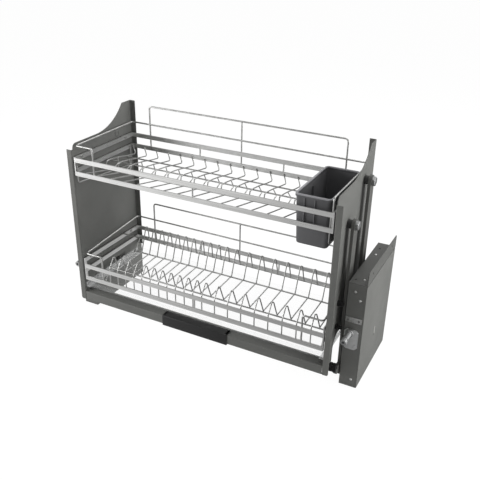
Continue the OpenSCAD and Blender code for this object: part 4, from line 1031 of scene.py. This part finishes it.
class DISHRACK_OT_covers(RackOperator):
    """Cover plates with eased edges, painted shade in the seam under the mounting tab, and a lipped slot
    painted pale as a highlight
    """

    bl_idname = "dish_rack.covers"
    bl_label = "Cover plates"

    thick = 1.5 * MM
    edge = 0.7 * MM
    play = 0.1 * MM
    seam_high = 2.6 * MM
    seam_gap = 0.2 * MM
    seam_sunk = 0.7 * MM
    seam_edge = 0.2 * MM
    slot_half = (5 * MM, 13 * MM)
    backing_past = 1 * MM
    backing_in = 1.2 * MM
    backing_edge = 0.3 * MM
    # the lip's nearest and farthest places from the slot's middle, along Y and Z
    lip_y = (2.2 * MM, 4.7 * MM)
    lip_z = (-11 * MM, 12 * MM)
    lip_in = 1 * MM
    lip_edge = 0.9 * MM
    overrun = 4 * MM

    def execute(self, context):
        coat = powder_coat("cover coat", self.tones.coat, self.sizes.grain)
        (_, y0, z0), (x1, y1, z1) = cad("right_cover")
        inner = x1 - self.thick
        plate = block("plate", (inner, y0, z0), (x1, y1, z1 - self.seam_high - self.seam_gap), coat)
        softened(plate, self.edge, steps=3)
        slot, backing, lip = self.slot_pieces(inner, x1, coat)
        smooth(cut_with(plate, slot))
        # painted shade: a deep black rubber strip sunk in the gap under the tab stands for the shade inside
        # the seam
        seam = block("seam", (inner + self.play, y0, z1 - self.seam_high), (x1 - self.seam_sunk, y1, z1),
                     rubber("seam shade", shade(self.tones.rubber, 0.5)))
        softened(seam, self.seam_edge)
        cover = joined("right_cover_plate", [plate, backing, lip, seam])
        twin = mirrored(cover, "left_cover_plate")
        finish_piece(cover, "frame", "right_cover")
        finish_piece(twin, "frame", "left_cover")
        return {"FINISHED"}

    def slot_pieces(self, inner, outer, coat):
        """The slot's cutter, the sheet behind it and its lip, all about the rear shaft."""
        low, high = cad("right_rear_shaft")
        y, z = (low[1] + high[1]) / 2, (low[2] + high[2]) / 2
        # painted highlight: the lip and the sheet behind the slot get a pale non-metal finish for the light
        # the lip catches
        metal = moulded("slot lip", self.tones.slot_lip_highlight, rough=0.4)
        wide, long = self.slot_half
        slot = block("slot", (inner - self.overrun, y - wide, z - long),
                     (outer + self.overrun, y + wide, z + long), coat)
        wide, long = wide + self.backing_past, long + self.backing_past
        backing = block("slot_back", (inner - self.backing_in, y - wide, z - long),
                        (inner - self.play, y + wide, z + long), metal)
        lip = block("lip", (inner - self.lip_in, y + self.lip_y[0], z + self.lip_z[0]),
                    (outer - self.play, y + self.lip_y[1], z + self.lip_z[1]), metal)
        return slot, softened(backing, self.backing_edge), softened(lip, self.lip_edge, steps=3)


class DISHRACK_OT_nuts(RackOperator):
    """Low press nuts, coated like the panels that they sit in"""

    bl_idname = "dish_rack.nuts"
    bl_label = "Press nuts"

    # heights over the panel, with radii as shares of the CAD nut's
    rings = ((0.0, 0.98), (0.9 * MM, 0.92), (1.6 * MM, 0.7), (1.6 * MM, 0.56), (0.8 * MM, 0.5))

    def execute(self, context):
        coat = powder_coat("nut coat", shade(self.tones.coat, 0.95), self.sizes.grain)
        nuts = []
        for low, high in solids("pivot_nuts"):
            side = 1.0 if low.x > 0 else -1.0
            radius = (high.y - low.y) / 2
            start = (low + high) / 2
            start.x = side * max(abs(low.x), abs(high.x))
            outline = [(-side * rise, radius * share) for rise, share in self.rings]
            nuts.append(turned("nut", start, "X", outline, coat, sides=36))
        finish_piece(joined("press_nut_set", nuts), "rack", "pivot_nuts")
        return {"FINISHED"}


class DISHRACK_OT_screws(RackOperator):
    """Pan head screws on the fronts and tops of the housings"""

    bl_idname = "dish_rack.screws"
    bl_label = "Screws"

    # heights as shares of the head's height, with radii as shares of its radius
    head_shares = ((0.0, 0.45), (0.1, 0.78), (0.25, 0.96), (0.4, 1.0), (1.0, 1.0))
    recess_deep = 1.6 * MM
    recess_share = 1.05

    def execute(self, context):
        zinc = plated("screw zinc", shade(self.tones.zinc, 1.7), rough=0.42)
        heads = []
        for low, high in solids("housing_screws"):
            span, start = high - low, (low + high) / 2
            radius = span.x / 2
            if abs(span.x - span.z) < abs(span.x - span.y):
                axis, way, start.y = "Y", 1.0, low.y
            else:
                axis, way, start.z = "Z", -1.0, high.z
            tall = way * span["XYZ".index(axis)]
            outline = [(tall * rise, radius * share) for rise, share in self.head_shares]
            head = turned("head", start, axis, outline, zinc, sides=28)
            cross = radius * self.recess_share
            heads.append(cross_recess(head, start, axis, self.recess_deep, cross, zinc))
        finish_piece(joined("housing_screw_heads", heads), "frame", "housing_screws")
        return {"FINISHED"}


class DISHRACK_OT_pivots(RackOperator):
    """Chamfered hexagon bolts at the arms' tops"""

    bl_idname = "dish_rack.pivots"
    bl_label = "Pivot bolts"

    head = 8.0 * MM
    chamfer = 1.2 * MM
    edge = 0.3 * MM
    stem_r = 6.0 * MM
    stem_past_panel = 0.6 * MM
    # the head's flat end as a share of its width, and the stack's places as shares of its height
    flat_share = 0.8
    hexagon_share = 0.8
    disc_share = 0.78
    stem_share = 0.9

    def execute(self, context):
        steel = bright_chrome("pivot chrome", shade(self.tones.chrome, 0.6), rough=0.5)
        panel = cad("pivot_nuts")[1][0]
        head, bolts = self.head, []
        for low, high in solids("pivot_bolts"):
            span, tip = high - low, (low + high) / 2
            side = 1.0 if tip.x > 0 else -1.0
            tip.x = side * max(abs(low.x), abs(high.x))
            corner, flat = span.z / 2, span.y / 2
            stem_end = abs(tip.x) - panel + self.stem_past_panel
            rings = [(0.0, corner * self.flat_share), (self.chamfer, corner)]
            rings.append((head * self.hexagon_share, corner))
            hexagon = self.stack("hexagon", tip, side, rings, steel, sides=6)
            softened(hexagon, self.edge, degrees=25.0)
            rings = [(head * self.disc_share, flat), (head, flat)]
            disc = self.stack("disc", tip, side, rings, steel, sides=40)
            rings = [(head * self.stem_share, self.stem_r), (stem_end, self.stem_r)]
            bolts += [hexagon, disc, self.stack("stem", tip, side, rings, steel, sides=32)]
        finish_piece(joined("pivot_bolt_set", bolts), "rack", "pivot_bolts")
        return {"FINISHED"}

    def stack(self, name, tip, side, rings, steel, sides):
        """A turned piece whose rings count inwards from the bolt's tip."""
        return turned(name, tip, "X", [(-side * depth, radius) for depth, radius in rings], steel, sides)


class DISHRACK_OT_rubbers(RackOperator):
    """Rounded rubber rollers under the rack's foot"""

    bl_idname = "dish_rack.rubbers"
    bl_label = "Rubber rollers"

    edge = 1.4 * MM
    bore_share = 0.35
    end_share = 0.86
    # the groove's places along the roller and its radius, as shares
    groove_shares = ((0.42, 1.0), (0.46, 0.93), (0.54, 0.93), (0.58, 1.0))

    def execute(self, context):
        skin = rubber("roller rubber", self.tones.rubber)
        (x0, y0, z0), (x1, y1, z1) = cad("right_bumper")
        radius, long = (z1 - z0) / 2, x1 - x0
        start = Vector((x0, (y0 + y1) / 2, (z0 + z1) / 2))
        bore, end = radius * self.bore_share, radius * self.end_share
        outline = [(0.0, bore), (0.0, end), (self.edge, radius)]
        outline += [(long * along, radius * out) for along, out in self.groove_shares]
        outline += [(long - self.edge, radius), (long, end), (long, bore)]
        roller = turned("right_roller", start, "X", outline, skin)
        twin = mirrored(roller, "left_roller")
        finish_piece(roller, "right_front_link", "right_bumper")
        finish_piece(twin, "left_front_link", "left_bumper")
        return {"FINISHED"}


class DISHRACK_OT_stage(RackOperator):
    """Floor, lights and camera"""

    bl_idname = "dish_rack.stage"
    bl_label = "Stage"

    # each lamp's place, the place that it points at and its size, in metres
    lamps = {
        "Key": ((-1.75, -1.25, 0.75), (-0.15, -0.1, 0.3), 1.1),
        "Side": ((2.5, 0.3, 0.65), (0.4, 0.05, 0.25), 1.5),
        "Top": ((0.5, 0.9, 2.1), (0.1, 0.0, 0.3), 1.6),
    }
    film_wide = 36.0
    floor_size = 60.0
    floor_drop = 2 * MM
    # the floor as metal reflects it: its tone falls off from left to right over this half width
    graded_half = 1.6
    graded_stops = ((0.0, 1.0), (0.3, 0.7), (0.5, 0.42), (0.75, 0.26), (1.0, 0.2))
    # how white the camera sees the floor, with a little left for the object's shadow
    white_share = 0.88
    white_strength = 1.08
    even_tone = (0.8, 0.8, 0.8, 1.0)

    def execute(self, context):
        scene = context.scene
        stage = scene.dish_rack_stage
        self.floor()
        self.camera(scene, stage)
        for name, (at, aim, size) in self.lamps.items():
            self.lamp(scene, name, at, aim, size, getattr(stage, name.lower()))
        self.sky(scene, stage)
        scene.view_settings.view_transform = "Standard"
        return {"FINISHED"}

    def lamp(self, scene, name, at, aim, size, power):
        """Square lamp that points at a place."""
        data = bpy.data.lights.new(name, "AREA")
        data.shape, data.size, data.energy = "SQUARE", size, power
        item = bpy.data.objects.new(name, data)
        item.location = at
        item.rotation_euler = (Vector(aim) - Vector(at)).to_track_quat("-Z", "Y").to_euler()
        scene.collection.objects.link(item)

    def camera(self, scene, stage):
        """Camera at the photo's place."""
        data = bpy.data.cameras.new("Camera")
        data.sensor_width, data.lens = self.film_wide, stage.focal
        item = bpy.data.objects.new("Camera", data)
        sin_y, cos_y = math.sin(stage.yaw), math.cos(stage.yaw)
        sin_p, cos_p = math.sin(stage.pitch), math.cos(stage.pitch)
        sin_r, cos_r = math.sin(stage.roll), math.cos(stage.roll)
        ahead = Vector((sin_y * cos_p, cos_y * cos_p, sin_p))
        level = Vector((cos_y, -sin_y, 0.0))
        upward = level.cross(ahead)
        right = cos_r * level + sin_r * upward
        up = cos_r * upward - sin_r * level
        turn = Matrix((right, up, -ahead)).transposed().to_4x4()
        item.matrix_world = Matrix.Translation(stage.camera_at) @ turn
        scene.collection.objects.link(item)
        scene.camera = item

    def floor(self):
        """Pale floor: white to the camera, graded to what metal reflects, and with the object's shadow."""
        clear_selection()
        bpy.ops.mesh.primitive_plane_add(size=self.floor_size, location=(0.0, 0.0, -self.floor_drop))
        f = Finish("Floor", Roughness=0.9, Specular_IOR_Level=0.1, Base_Color=(0.86, 0.86, 0.855, 1.0))
        across = f.band(f.axis("X"), -self.graded_half, self.graded_half)
        stops = [(place, (grey,) * 3) for place, grey in self.graded_stops]
        tone = f.node("ShaderNodeValToRGB", {"stops": stops}, Fac=across)
        graded = f.node("ShaderNodeEmission", Color=tone)
        white = f.node("ShaderNodeEmission", Color=(1.0, 1.0, 1.0, 1.0), Strength=self.white_strength)
        direct = f.ray("Camera").maths("MAXIMUM", f.ray("Transmission"))
        seen = f.mixed(f.ray("Glossy"), Value(f, f.shader.outputs[0]), graded)
        seen = f.mixed(direct * self.white_share, seen, white)
        f.feed(f.tree.nodes["Material Output"].inputs["Surface"], seen)
        settle("Floor", f.material)

    def sky(self, scene, stage):
        """Even light all round, and plain white behind the object."""
        scene.world = bpy.data.worlds.new("Studio")
        scene.world.use_nodes = True
        w = Nodes(scene.world.node_tree)
        even = w.node("ShaderNodeBackground", Color=self.even_tone, Strength=stage.sky)
        white = w.node("ShaderNodeBackground", Color=(1.0, 1.0, 1.0, 1.0))
        seen = w.mixed(w.ray("Camera"), even, white)
        w.feed(w.tree.nodes["World Output"].inputs["Surface"], seen)


class DISHRACK_PT_panel(bpy.types.Panel):
    """Lists the steps and the settings"""

    bl_label = "Dish rack"
    bl_idname = "DISHRACK_PT_panel"
    bl_space_type = "VIEW_3D"
    bl_region_type = "UI"
    bl_category = "Dish Rack"

    def draw(self, context):
        for step in STEPS:
            self.layout.operator(step.bl_idname)
        for group in ("dish_rack_sizes", "dish_rack_colours", "dish_rack_stage"):
            settings = getattr(context.scene, group)
            for key in settings.__annotations__:
                self.layout.prop(settings, key)


STEPS = (
    DISHRACK_OT_coats,
    DISHRACK_OT_steel,
    DISHRACK_OT_plastics,
    DISHRACK_OT_handle_bar,
    DISHRACK_OT_grip,
    DISHRACK_OT_cutlery_box,
    DISHRACK_OT_drip_tray,
    DISHRACK_OT_adjusters,
    DISHRACK_OT_plates,
    DISHRACK_OT_covers,
    DISHRACK_OT_nuts,
    DISHRACK_OT_screws,
    DISHRACK_OT_pivots,
    DISHRACK_OT_rubbers,
    DISHRACK_OT_stage,
)
GROUPS = (DishRackSizes, DishRackColours, DishRackStage)


def register():
    for item in (*GROUPS, *STEPS, DISHRACK_PT_panel):
        bpy.utils.register_class(item)
    bpy.types.Scene.dish_rack_sizes = PointerProperty(type=DishRackSizes)
    bpy.types.Scene.dish_rack_colours = PointerProperty(type=DishRackColours)
    bpy.types.Scene.dish_rack_stage = PointerProperty(type=DishRackStage)


def unregister():
    for name in ("dish_rack_sizes", "dish_rack_colours", "dish_rack_stage"):
        delattr(bpy.types.Scene, name)
    for item in reversed((*GROUPS, *STEPS, DISHRACK_PT_panel)):
        bpy.utils.unregister_class(item)


def main():
    register()
    for step in STEPS:
        group, name = step.bl_idname.split(".")
        getattr(getattr(bpy.ops, group), name)()


if __name__ == "__main__":
    main()
